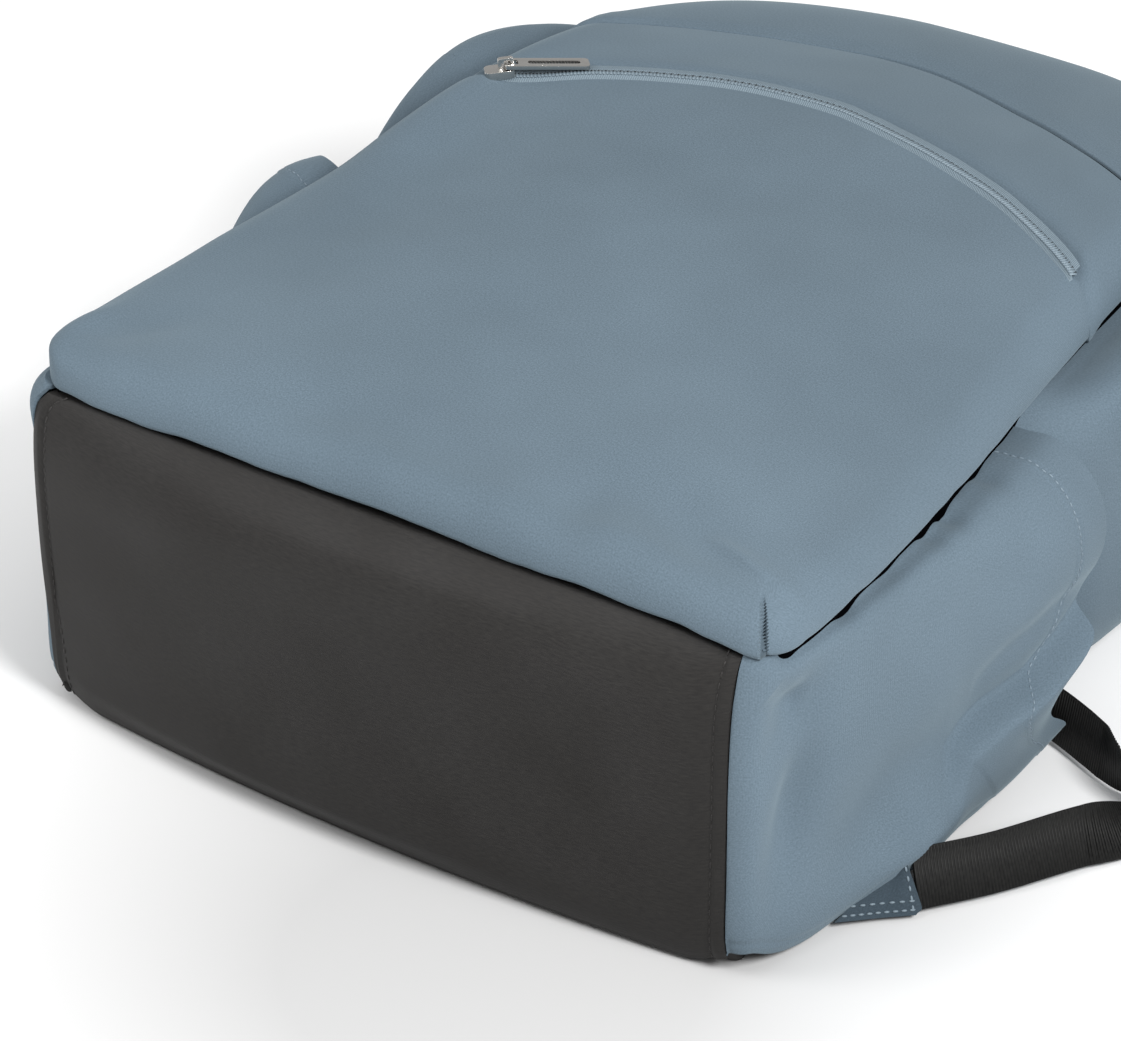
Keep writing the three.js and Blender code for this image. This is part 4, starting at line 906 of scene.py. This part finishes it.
# Nylon coil: the tape's colour, smoother, each turn a little darker on its flanks.
coil, tree, shader, _ = new_material("nylon_coil", Roughness=0.5)
place = add_node(tree, "ShaderNodeTexCoord").outputs["Object"]
turns = add_node(tree, "ShaderNodeTexNoise", [(place, "Vector")], Scale=700, Detail=1)
shade = add_node(tree, "ShaderNodeValToRGB", [(turns.outputs["Fac"], "Fac")],
                 ramp=((0, "#5a6873"), (1, "#77858d")))
tree.links.new(shade.outputs["Color"], shader.inputs["Base Color"])


def front_strip(start, end, shares, sink):
    """Strip of front skin between two lines Y(x), let down by a sink for each share across it."""
    grid = np.stack([skin_on_line(FRONT_ACROSS[0], lambda x, s=s: mix(start(x), end(x), s)) for s in shares])
    grid[..., 2] -= np.asarray(sink)[:, None]
    return grid


ZIP_ENDS = (-117, 124)
tape_shares = np.linspace(0, 1, 17)
tape_lift = 0.2 + 1.8 * smoothstep(tape_shares, 0, 0.3) - 0.6 * bell(tape_shares - 0.56, 0.06)
tape_grid = front_strip(lambda x: zip_y(x) - 4.8, lambda x: zip_y(x) + 3.9 + 0.35 * wander(x, 0, 9, 31),
                        tape_shares, 0.5 - tape_lift)
tape_middle = tape_grid[8, :, 0]
tape_grid = tape_grid[:, (tape_middle > ZIP_ENDS[0]) & (tape_middle < ZIP_ENDS[1])]
tape = cloth_sheet("front_zip_tape", tape_grid, ZIP_TAPE, zip_tape)
fix_on(tape, "front_zip")

tooth_tree = path_tree("teeth_and_ribs", "GeometryNodeMeshCylinder", (math.pi / 2, 0, 0),
                       Vertices=8, Radius=0.5, Depth=1)
tape_normals = grid_normals(tape_grid)
teeth_lines = [(tape_grid[6] - 0.1 * tape_normals[6], tape_normals[6])]
teeth = along_paths("front_zip_teeth", tooth_tree, teeth_lines, TEETH_PITCH, (0.9, 2.6, 0.7), coil)
fix_on(teeth)
zip_thread = thread_material("zip_thread", "#11161a", "#222b32")
zip_seam = [(tape_grid[9] + 0.35 * tape_normals[9], tape_normals[9])]
zip_stitches = along_paths("front_zip_stitches", stitch_tree, zip_seam, *ZIP_STITCH, zip_thread)
fix_on(zip_stitches)

# Front band. The strip of cloth between the zip and the second seam. Its lower edge runs in under
# the zip tape, which throws a fine shadow on it.

BAND_WIDTH = 56


def second_seam_y(x):
    return zip_arc(x) + BAND_WIDTH + 7 * smoothstep(-x, -30, 45)


band_shares = spans((0, 0.06, 7), (0.06, 0.965, 34), (0.965, 1, 9))
band_sink = 2 * (1 - smoothstep(band_shares, 0.02, 0.2)) + 3.4 * smoothstep(band_shares, 0.975, 1)
band_grid = front_strip(lambda x: zip_y(x) + 0.3 + 2.2 * zip_share(x), second_seam_y, band_shares, band_sink)
band = cloth_sheet("front_band", band_grid, FRONT_CLOTH, cloth)
fix_on(band, "front_band_panel")

# Front above the second seam. A crescent of the cloth up to the zipped band over the top, mostly
# past the photo's edge and plain; its lower edge puffs over the seam.

front_outline = outline_at(POCKET_OUTLINES, np.float64(1))
top_start = station_at(skin_on_line(np.array([1.0]), second_seam_y)[0, 1] + 4, front_outline)
rim_xy = np.stack(outline_point(np.linspace(top_start, 5, 400), front_outline), -1)
rim_run = run_length(rim_xy, 0)
rim_run /= rim_run[-1]
TOP_PLACES = np.linspace(-1, 1, 141)
TOP_SHARES = np.concatenate([np.linspace(0, 0.02, 9)[:-1], np.sin(np.linspace(0.02, np.pi / 2, 48))])[:, None]
lower = skin_on_line(TOP_PLACES, lambda x: second_seam_y(x) + 0.2)
rim_x, rim_y = (np.interp(1 - np.abs(TOP_PLACES), rim_run, rim_xy[:, k]) for k in (0, 1))
rim_x = np.sign(TOP_PLACES) * rim_x
rim_z = front_seam_z(rim_y) + 0.4
top_x, top_y = mix(lower[:, 0], rim_x, TOP_SHARES), mix(lower[:, 1], rim_y, TOP_SHARES)
seam_puff = 3.4 * smoothstep(TOP_SHARES, 0, 0.014) + 1.0 * smoothstep(TOP_SHARES, 0, 0.12) - 3.4
top_z = rim_z + (lower[:, 2] - rim_z) * np.sqrt(1 - TOP_SHARES**2.3) + seam_puff * (1 - TOP_SHARES)
top_z = top_z + 0.6 * wander(top_x, top_y, 45, 29) * (1 - TOP_SHARES)
front_top = cloth_sheet("front_top", np.stack([top_x, top_y, top_z], -1), FRONT_CLOTH, cloth)
fix_on(front_top, "front_top_panel")

# The same near-black sheet of painted shade lies in the second seam, a millimetre under the cloth on both sides, as
# the seam's dark shadow line
seam_grid = front_strip(lambda x: second_seam_y(x) - 0.6, lambda x: second_seam_y(x) + 1.0,
                        np.linspace(0, 1, 4), np.full(4, 1.1))
second_seam_shadow_piece = cloth_sheet("second_seam_painted_shadow", seam_grid, 0.6, shadow_paint)
fix_on(second_seam_shadow_piece)

# Front zip slider and its pull. Polished die-cast metal: the slider sits on the coil at the left
# end of the zip, the slotted pull hangs on its bridge and lies to the right.

# Polished nickel: bright, with faint wear that varies its gloss.
metal, tree, shader, _ = new_material("polished_metal", Base_Color=colour("#c6c4c0"), Metallic=1)
place = add_node(tree, "ShaderNodeTexCoord").outputs["Object"]
scuffs = add_node(tree, "ShaderNodeTexNoise", [(place, "Vector")], Scale=400, Detail=3)
gloss = add_node(tree, "ShaderNodeMapRange", [(scuffs.outputs["Fac"], "Value")], To_Min=0.12, To_Max=0.3)
tree.links.new(gloss.outputs["Result"], shader.inputs["Roughness"])


def rounded_copy(name, node, radius, material):
    """Copy of a CAD node, merged, with its edges rounded."""
    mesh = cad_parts[node].data.copy()
    shape = bmesh.new()
    shape.from_mesh(mesh)
    bmesh.ops.remove_doubles(shape, verts=shape.verts, dist=1e-6)
    bmesh.ops.dissolve_limit(shape, angle_limit=math.radians(1), verts=shape.verts, edges=shape.edges)
    shape.to_mesh(mesh)
    shape.free()
    mesh.materials.clear()
    mesh.materials.append(material)
    piece = in_scene(name, mesh)
    bevel = piece.modifiers.new("edges", "BEVEL")
    bevel.width, bevel.segments, bevel.limit_method, bevel.angle_limit = radius, 3, "ANGLE", math.radians(30)
    made = applied(piece).data
    made.polygons.foreach_set("use_smooth", np.ones(len(made.polygons), bool))
    made.set_sharp_from_angle(angle=math.radians(40))
    return piece


slider = rounded_copy("front_slider", "front_zip_slider", 0.0009, metal)
fix_on(slider, "front_zip_slider")
pull = rounded_copy("front_pull", "front_zip_pull", 0.0005, metal)
fix_on(pull, "front_zip_pull", body="zip_pull")

# The pull's slot is backed by a dark ribbed strip, 19 mm long and 2.5 mm wide
PULL_SLOT = (8.75, 27.75)
PULL_RIB = (1.1, (1.05, 2.5, 0.7))
rubber = thread_material("dark_rubber", "#0f0f10", "#1c1c1d")
corners = np.array([v.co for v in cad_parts["front_zip_pull"].data.vertices]) * 1000 - [0, TABLES_START, 0]
axes = np.linalg.svd(corners - corners.mean(0), full_matrices=False)[2]
ahead = axes[0] * np.sign(axes[0, 0])
outward = axes[2] * np.sign(axes[2, 2])
reach = corners @ ahead
flat_middle = [(np.max(corners @ a) + np.min(corners @ a)) / 2 * a for a in (axes[1], axes[2])]
strip = np.array([ahead * (reach.min() + d) + flat_middle[0] + flat_middle[1] for d in np.linspace(*PULL_SLOT, 12)])
pull_ribs = along_paths("front_pull_ribs", tooth_tree, [(strip - 0.25 * outward, outward)], *PULL_RIB, rubber)
fix_on(pull_ribs, body="zip_pull")

# Band over the top with the main zip. Two strips of padded cloth either side of a zip tape with
# its coil and slider, past the photo's edge and plain.

MAIN_ZIP = (0.66, 0.74)


def top_band(depths):
    v = np.asarray(depths, float)[:, None]
    start = station_at(TOP_BAND_START, outline_at(BODY_OUTLINES, v))
    run = spans((0, 1, 24), (1, 2, 34), (2, 3, 16))[None]
    right = np.where(run < 1, mix(start, 3, run), run + 2)
    return body_folded(body_point(np.concatenate([right, -right[:, -2::-1]], 1), v), v)


lower_band = top_band(spans((0, 0.12, 12), (0.12, MAIN_ZIP[0], 24)))
band_back = cloth_sheet("top_band_lower", lower_band, PANEL_CLOTH, cloth)
fix_on(band_back, "top_band_back")
upper_band = turned_in(top_band(np.linspace(MAIN_ZIP[1], 1, 24)), 0, 6, -0.8)
band_front = cloth_sheet("top_band_upper", upper_band, PANEL_CLOTH, cloth)
fix_on(band_front, "top_band_front")
main_grid = top_band(np.linspace(MAIN_ZIP[0] - 0.004, MAIN_ZIP[1] + 0.004, 9))
main_grid = main_grid - 0.7 * grid_normals(main_grid)
main_tape = cloth_sheet("main_zip_tape", main_grid, ZIP_TAPE, zip_tape)
fix_on(main_tape, "main_zip")
main_normals = grid_normals(main_grid)
main_lines = [(main_grid[row] + 0.1 * main_normals[row], main_normals[row]) for row in (3, 5)]
main_teeth = along_paths("main_zip_teeth", tooth_tree, main_lines, TEETH_PITCH, (1.0, 2.1, 0.9), coil)
fix_on(main_teeth)
main_slider = rounded_copy("main_slider", "main_zip_slider", 0.0006, metal)
fix_on(main_slider, "main_zip_slider")

# Back. A foam pad in dark spacer mesh, sewn into the back seam all round, flat on the floor. Hidden
# and plain; its lower corners are drawn in under the base.

PAD_INSET = 3.2
PAD_THICKNESS = 8
PAD_CORNER = 9

# Spacer mesh: dark grey knit with small round holes 3 mm apart.
spacer_mesh, tree, shader, uv = new_material("spacer_mesh", Roughness=0.9)
holes = add_node(tree, "ShaderNodeTexVoronoi", [(uv, "Vector")], Scale=330, Randomness=0.15)
knit = add_node(tree, "ShaderNodeValToRGB", [(holes.outputs["Distance"], "Fac")],
                ramp=((0.2, "#141516"), (0.45, "#2d2f31")))
tree.links.new(knit.outputs["Color"], shader.inputs["Base Color"])
relief = add_node(tree, "ShaderNodeBump", [(holes.outputs["Distance"], "Height")], Strength=0.7, Distance=0.001)
tree.links.new(relief.outputs["Normal"], shader.inputs["Normal"])


def ring_piece(name, rings, material):
    """Closed piece through rings of equal length, filled at both ends."""
    count, sides = rings.shape[:2]
    index = np.arange(count * sides).reshape(count, sides)
    after = np.roll(index, -1, axis=1)
    faces = np.stack([index[:-1], after[:-1], after[1:], index[1:]], -1).reshape(-1, 4).tolist()
    faces += [index[0, ::-1].tolist(), index[-1].tolist()]
    along = run_length(rings.mean(1), 0)
    around = run_length(rings, 1)
    uv = np.stack([np.broadcast_to(along[:, None], around.shape), around], -1).reshape(-1, 2)
    return mesh_piece(name, rings.reshape(-1, 3), faces, uv, material)


pad_stations = spans((0, 1, 30), (1, 2, 14), (2, 3, 50), (3, 4, 30), (4, 5, 10))
pad_stations = np.concatenate([pad_stations, -pad_stations[-2:0:-1]])
back_outline = outline_at(POCKET_OUTLINES, np.float64(0))


def back_inset(inset):
    """Outline of the back seam, moved in."""
    low, high = back_outline["low"] + inset, back_outline["high"] - inset
    return dict(back_outline, low=low, high=high, half=lambda y: back_outline["half"](y) - inset)


def pad_ring(inset, z):
    x, y = outline_point(pad_stations, back_inset(inset))
    y = y + PAD_CORNER * bell(np.abs(x) - 140, 22) * (1 - smoothstep(y, 0, 30))
    return np.stack([x, y, np.full_like(x, z)], -1)


pad_edge = [pad_ring(PAD_INSET + 3.5 * (1 - math.cos(a)), PAD_THICKNESS / 2 + PAD_THICKNESS / 2 * math.sin(a))
            for a in np.linspace(-math.pi / 2, math.pi / 2, 13)]
pad_rings = [pad_ring(PAD_INSET + 30, 0.6)] + pad_edge + [pad_ring(PAD_INSET + 30, PAD_THICKNESS)]
back_pad = ring_piece("back_pad", np.stack(pad_rings), spacer_mesh)
fix_on(back_pad, "back_panel")

# Strap tabs. A folded patch of the cloth at each lower corner, sewn into the back seam, that holds
# the end of the webbing between its two layers. Pale thread: two rows along its lower edge, one
# across its outer end.

STRAP_HEADING = 61.3
WEBBING_WIDTH = 20
WEBBING_START = np.array([164.2, 63.1, 11])
WEBBING_SIDE = -29
WEBBING_LEAN = 62
TAB_CLOTH = 2.2
TAB_STITCH = (2.8, (2.1, 0.9, 0.8))
TAB_LOW = np.array([149.6, 38, 3])
TAB_HIGH = np.array([155.5, 60, 15])


def edge_direction(side, lean):
    """Direction of a band's right edge, which heads along the side angle and dips by the lean."""
    side, lean = np.radians(side), np.radians(lean)
    return np.stack([np.cos(side) * np.cos(lean), np.sin(side) * np.cos(lean), -np.sin(lean)], -1)


# Tab cloth: a copy of the same polyester, its colour darkened as painted shade for the shadow the tab lies in under
# the pocket's hem.
shaded_tab_cloth = cloth.copy()
shaded_tab_cloth.name = "tab_polyester_painted_shade"
tab_ramp = next(node for node in shaded_tab_cloth.node_tree.nodes if node.type == "VALTORGB").color_ramp
tab_ramp.elements[0].color, tab_ramp.elements[1].color = colour("#2e3941"), colour("#3b4852")
pale_thread = thread_material("pale_thread", "#4d5a63", "#6d7a83")
tab_t = np.linspace(0, 1, 30)[:, None, None]
tab_u = np.linspace(0, 1, 44)[None, :, None] * (1.08 - 0.1 * bell(tab_t, 0.07))
tab_over = edge_direction(WEBBING_SIDE, WEBBING_LEAN)
tab_end = WEBBING_START - 2.4 * edge_direction(STRAP_HEADING, 0) + tab_over * mix(WEBBING_WIDTH / 2 + 1, -6, tab_t)
tab_grid = mix(mix(TAB_LOW, TAB_HIGH, tab_t), tab_end, tab_u)
tab_grid = pushed(tab_grid, 1.2 * smoothstep(tab_u[..., 0], 0.5, 0.9))
for name, side in SIDES:
    grid = mirrored(tab_grid, side)
    tab = cloth_sheet(f"tab_{name}", grid, TAB_CLOTH, shaded_tab_cloth)
    fix_on(tab, f"strap_tab_{name}")
    normals = grid_normals(grid)
    sewn = slice(2, 39) if side > 0 else slice(5, 42)
    lines = [(grid[row, sewn] + 0.1 * normals[row, sewn], normals[row, sewn]) for row in (3, 8)]
    column = 38 if side > 0 else -39
    lines.append((grid[4:27, column] + 0.1 * normals[4:27, column], normals[4:27, column]))
    tab_stitches = along_paths(f"tab_stitches_{name}", stitch_tree, lines, *TAB_STITCH, pale_thread)
    fix_on(tab_stitches)

# Webbing. Charcoal polypropylene tape 20 mm wide with close ribs across it. One length runs from
# the tab over the floor to the adjuster, over its middle bar and back out as a free end.

WEBBING = 1.5
ADJUSTER = {"x": 215, "y": 162, "length": 26, "thickness": 2.8, "bottom": 4.4}
ADJUSTER_BAR = 4
ADJUSTER_SLOT = 7
# Rows along the centre line: x, y, z, heading of the right edge, how far that edge dips
WEBBING_RUN = [
    (164.2, 63.1, 11, -29, 62),
    (179.9, 85.1, 10.8, -29, 64),
    (196.3, 114.7, 10.4, -29, 62),
    (206, 141, 3.6, -29, 14),
]
WEBBING_TAIL = [
    (207.5, 152, 5.6, -34, -12),
    (198, 149, 9.6, -62, -50),
    (188, 153, 11.6, -102, -82),
    (179, 158.5, 11.6, -118, -98),
    (170, 163, 11.6, -116, -100),
    (161, 167, 11.6, -112, -100),
    (153, 170, 11.6, -110, -100),
]

# Polypropylene webbing: charcoal, slightly glossy yarns that run along the tape between the ribs.
webbing_yarn, tree, shader, _ = new_material("webbing_yarn", Roughness=0.6, Specular_IOR_Level=0.18)
place = add_node(tree, "ShaderNodeTexCoord").outputs["Object"]
yarns = add_node(tree, "ShaderNodeTexNoise", [(place, "Vector")], Scale=900, Detail=2)
dyed = add_node(tree, "ShaderNodeValToRGB", [(yarns.outputs["Fac"], "Fac")],
                ramp=((0.3, "#0d0d0d"), (0.7, "#191918")))
tree.links.new(dyed.outputs["Color"], shader.inputs["Base Color"])


def smooth_path(points, count):
    """Centripetal curve through points: its points and tangents, a count of steps for each leg."""
    points = np.asarray(points, float)
    ends = np.concatenate([[2 * points[0] - points[1]], points, [2 * points[-1] - points[-2]]])
    gaps = np.linalg.norm(np.diff(ends, axis=0), axis=-1)[:, None] ** 0.5
    p0, p1, p2, p3 = ends[:-3], ends[1:-2], ends[2:-1], ends[3:]
    d0, d1, d2 = gaps[:-2], gaps[1:-1], gaps[2:]
    start = ((p1 - p0) / d0 - (p2 - p0) / (d0 + d1) + (p2 - p1) / d1) * d1
    end = ((p2 - p1) / d1 - (p3 - p1) / (d1 + d2) + (p3 - p2) / d2) * d1
    place = np.linspace(0, len(points) - 1, (len(points) - 1) * count + 1)
    i = np.minimum(place.astype(int), len(points) - 2)
    t = (place - i)[:, None]
    a, b = 2 * p1 - 2 * p2 + start + end, -3 * p1 + 3 * p2 - 2 * start - end
    curve = p1[i] + start[i] * t + b[i] * t**2 + a[i] * t**3
    return curve, unit(start[i] + 2 * b[i] * t + 3 * a[i] * t**2), place


def band_frame(rows, count, mirror):
    """Centre line of a flat band with its tangents, right edges, outward directions and places."""
    rows = np.asarray(rows, float) * ([1, 1, 1, 1, 1] if mirror > 0 else [-1, 1, 1, -1, -1])
    centres, tangents, place = smooth_path(rows[:, :3], count)
    turns = [np.interp(place, np.arange(len(rows)), rows[:, k]) for k in (3, 4)]
    over = edge_direction(*turns)
    over = unit(over - tangents * np.sum(over * tangents, -1, keepdims=True))
    return centres, over, np.cross(over, tangents), place


def rounded_section(width, thickness):
    """Half-round edged section of a tape."""
    arc = np.linspace(-math.pi / 2, math.pi / 2, 5)
    edge = thickness / 2
    right = np.stack([width / 2 - edge + edge * np.cos(arc), edge * np.sin(arc)], -1)
    return np.concatenate([right, -right])


def swept(centres, over, out, section):
    """Rings of a tape's section at each point of its centre line."""
    return centres[:, None] + over[:, None] * section[None, :, :1] + out[:, None] * section[None, :, 1:]


def adjuster_row(distance, z):
    """Row of the webbing's run through the adjuster, at a distance along it."""
    turn = math.radians(STRAP_HEADING)
    x, y = ADJUSTER["x"] + distance * math.cos(turn), ADJUSTER["y"] + distance * math.sin(turn)
    return (x, y, z, STRAP_HEADING - 90, 0)


bar = ADJUSTER["length"] / 2
bar_top = ADJUSTER["bottom"] + ADJUSTER["thickness"]
slot = (ADJUSTER_BAR + ADJUSTER_SLOT) / 2
ADJUSTER_LOOP = [
    adjuster_row(0, WEBBING / 2 + 0.4),
    adjuster_row(bar, WEBBING / 2 + 0.4),
    adjuster_row(bar + slot * 0.8, WEBBING + 1),
    adjuster_row(bar + slot, ADJUSTER["bottom"] + 1),
    adjuster_row(bar + slot * 0.75, bar_top + 1.2),
    adjuster_row(bar, bar_top + WEBBING),
    adjuster_row(bar - slot * 0.75, bar_top + 1.2),
    adjuster_row(bar - slot, ADJUSTER["bottom"] + 1),
    adjuster_row(bar - slot * 1.3, ADJUSTER["bottom"] - 1.2),
    adjuster_row(0, ADJUSTER["bottom"] - 1.3),
]
RIB_PITCH = 1.15

for name, side in SIDES:
    centres, over, out, _ = band_frame(WEBBING_RUN + ADJUSTER_LOOP + WEBBING_TAIL, 10, side)
    section = rounded_section(WEBBING_WIDTH, WEBBING - 0.4)
    webbing = ring_piece(f"webbing_{name}", swept(centres, over, out, section), webbing_yarn)
    fix_on(webbing, f"strap_webbing_{name}")
    lines = [(centres + out * face * (WEBBING / 2 - 0.25), out * face) for face in (-1, 1)]
    rib = (0.95, WEBBING_WIDTH - 0.8, 0.5)
    ribs = along_paths(f"webbing_ribs_{name}", tooth_tree, lines, RIB_PITCH, rib, webbing_yarn)
    fix_on(ribs)

# Strap adjusters. Moulded plastic ladder locks, past the photo's edge: the CAD shape with softened
# edges and a satin finish.

# Acetal plastic: near black, satin, with the faint mottle of a moulded skin.
plastic, tree, shader, _ = new_material("moulded_plastic", Roughness=0.42)
place = add_node(tree, "ShaderNodeTexCoord").outputs["Object"]
skin = add_node(tree, "ShaderNodeTexNoise", [(place, "Vector")], Scale=1500, Detail=2)
mottle = add_node(tree, "ShaderNodeValToRGB", [(skin.outputs["Fac"], "Fac")],
                  ramp=((0, "#1f2023"), (1, "#2b2c2f")))
tree.links.new(mottle.outputs["Color"], shader.inputs["Base Color"])
relief = add_node(tree, "ShaderNodeBump", [(skin.outputs["Fac"], "Height")], Strength=0.15, Distance=0.0002)
tree.links.new(relief.outputs["Normal"], shader.inputs["Normal"])

for name in ("left", "right"):
    adjuster = rounded_copy(f"adjuster_{name}", f"strap_adjuster_{name}", 0.0007, plastic)
    fix_on(adjuster, f"strap_adjuster_{name}")

# Shoulder straps. Foam in spacer mesh with a bound edge, curved to the shoulder, sewn thin into
# the back seam at the top corners. Past the photo's edge and plain.

STRAP_WIDTH = 62
STRAP_THICKNESS = 10
SEWN_THICKNESS = 4.4
SHOULDER_RUN = [
    (228.25, 186.4, 0.5),
    (238, 210, 0.9),
    (244, 256, 1),
    (243, 302, 1),
    (233, 348, 1),
    (210, 390, 1),
    (174, 419, 0.95),
    (139, 424, 0.9),
    (114, 411, 0.85),
]

sewn_end = [float(c) + 0.4 for c in outline_point(np.array(3.5), back_inset(PAD_INSET))]
shoulder_route = SHOULDER_RUN + [(*sewn_end, 0)]
route_xy = np.array([row[:2] for row in shoulder_route])
route_ahead = np.gradient(route_xy, axis=0)
headings = np.degrees(np.unwrap(np.arctan2(route_ahead[:, 1], route_ahead[:, 0]))) - 90
shoulder_rows = [(x, y, 0, heading, 0) for (x, y, _), heading in zip(shoulder_route, headings)]
swells = [row[2] for row in shoulder_route]
for name, side in SIDES:
    centres, over, up, place = band_frame(shoulder_rows, 12, side)
    height = mix(SEWN_THICKNESS, STRAP_THICKNESS, np.interp(place, np.arange(len(swells)), swells))
    half = STRAP_WIDTH / 2 * mix(0.62, 1, smoothstep(place, 0, 3)) - 0.6
    angle = np.linspace(0, 2 * math.pi, 40, endpoint=False)
    wide = np.sign(np.cos(angle)) * np.abs(np.cos(angle)) ** 0.35
    tall = np.sign(np.sin(angle)) * np.abs(np.sin(angle)) ** 0.6
    across, lift = half[:, None] * wide, height[:, None] * (0.5 + 0.48 * tall)
    rings = centres[:, None] + over[:, None] * across[..., None] + up[:, None] * lift[..., None]
    strap = ring_piece(f"shoulder_pad_{name}", rings, spacer_mesh)
    fix_on(strap, f"shoulder_strap_{name}")

# Grab handle. A loop of the same webbing as the straps, doubled, sewn to the band over the top.
# Past the photo's edge and plain.

HANDLE_HALF = 46
HANDLE_REACH = 24
HANDLE_WIDTH = 25
HANDLE_THICKNESS = 3
HANDLE_Z = 26
handle_root = BODY_OUTLINES["middle"]["high"] - 0.5
handle_rows = [
    (-HANDLE_HALF, HANDLE_THICKNESS / 2),
    (-HANDLE_HALF * 0.86, HANDLE_REACH * 0.62),
    (-HANDLE_HALF * 0.5, HANDLE_REACH * 0.95),
    (0, HANDLE_REACH),
    (HANDLE_HALF * 0.5, HANDLE_REACH * 0.95),
    (HANDLE_HALF * 0.86, HANDLE_REACH * 0.62),
    (HANDLE_HALF, HANDLE_THICKNESS / 2),
]
handle_run = [(x, handle_root + reach, HANDLE_Z, -90, 90) for x, reach in handle_rows]
centres, over, out, _ = band_frame(handle_run, 10, 1)
section = rounded_section(HANDLE_WIDTH, HANDLE_THICKNESS - 0.4)
handle = ring_piece("handle", swept(centres, over, out, section), webbing_yarn)
fix_on(handle, "grab_handle")
lines = [(centres + out * face * (HANDLE_THICKNESS / 2 - 0.3), out * face) for face in (-1, 1)]
rib = (0.95, HANDLE_WIDTH - 0.8, 0.6)
handle_ribs = along_paths("handle_ribs", tooth_tree, lines, RIB_PITCH, rib, webbing_yarn)
fix_on(handle_ribs)

# Studio. A white floor with a painted contact shadow round the bag, under soft light from all round, three soft
# boxes, weak ones above the front and at the left and a strong one at the right, and the camera at the photo's
# angle.

FLOOR_HALF = 6
FLOOR_Z = -0.0004
floor_corners = [(x * FLOOR_HALF, y * FLOOR_HALF, FLOOR_Z) for x, y in ((-1, -1), (1, -1), (1, 1), (-1, 1))]
floor_mesh = bpy.data.meshes.new("floor")
floor_mesh.from_pydata(floor_corners, [], [(0, 1, 2, 3)])
floor = in_scene("floor", floor_mesh)
# The floor's colour carries a painted contact shadow round the bag, grey near it and white further out.
paper_with_painted_shadow, tree, shader, _ = new_material("white_paper_painted_shadow", Roughness=0.95, Specular_IOR_Level=0.1)
place = add_node(tree, "ShaderNodeTexCoord").outputs["Object"]
# A soft grey round the bag is painted shadow: the contact shadow, darkest near the bag and fading to white further
# out.
wide = add_node(tree, "ShaderNodeMapping", [(place, "Vector")],
                Location=(-0.154, 0.572, 0), Scale=(2.2, 2.2, 2.2))
near = add_node(tree, "ShaderNodeTexGradient", [(wide.outputs["Vector"], "Vector")],
                gradient_type="SPHERICAL")
shade = add_node(tree, "ShaderNodeValToRGB", [(near.outputs["Fac"], "Fac")],
                 ramp=((0.1, "#ffffff"), (0.85, "#b0b0b0")))
tree.links.new(shade.outputs["Color"], shader.inputs["Base Color"])
floor_mesh.materials.append(paper_with_painted_shadow)

world = bpy.data.worlds.new("studio")
world.use_nodes = True
world.node_tree.nodes["Background"].inputs["Color"].default_value = (1, 1, 1, 1)
world.node_tree.nodes["Background"].inputs["Strength"].default_value = 0.48
bpy.context.scene.world = world
bpy.context.scene.view_settings.view_transform = "Standard"


def soft_box(name, position, target, size, power):
    light = bpy.data.lights.new(name, "AREA")
    light.shape, light.size, light.energy = "DISK", size, power
    lamp = in_scene(name, light)
    lamp.location = position
    lamp.rotation_mode = "QUATERNION"
    lamp.rotation_quaternion = (Vector(target) - Vector(position)).to_track_quat("-Z", "Y")


soft_box("top_box", (-0.1, -0.6, 0.9), (0, -0.3, 0), 0.8, 3)
soft_box("left_box", (-0.7, -0.9, 0.85), (0, -0.05, 0.08), 0.6, 6)
soft_box("right_box", (1.0, -0.5, 0.98), (0.05, -0.1, 0.08), 0.5, 26)

camera_data = bpy.data.cameras.new("camera")
camera_data.sensor_width = 36
camera_data.lens = 144.51
camera = in_scene("camera", camera_data)
camera.location = (0.72629, -1.17671, 0.86438)
turn, rise = math.radians(34.56), math.radians(31.9)
back = Vector((math.sin(turn) * math.cos(rise), -math.cos(turn) * math.cos(rise), math.sin(rise)))
camera.rotation_mode = "QUATERNION"
camera.rotation_quaternion = (-back).to_track_quat("-Z", "Y")
bpy.context.scene.camera = camera
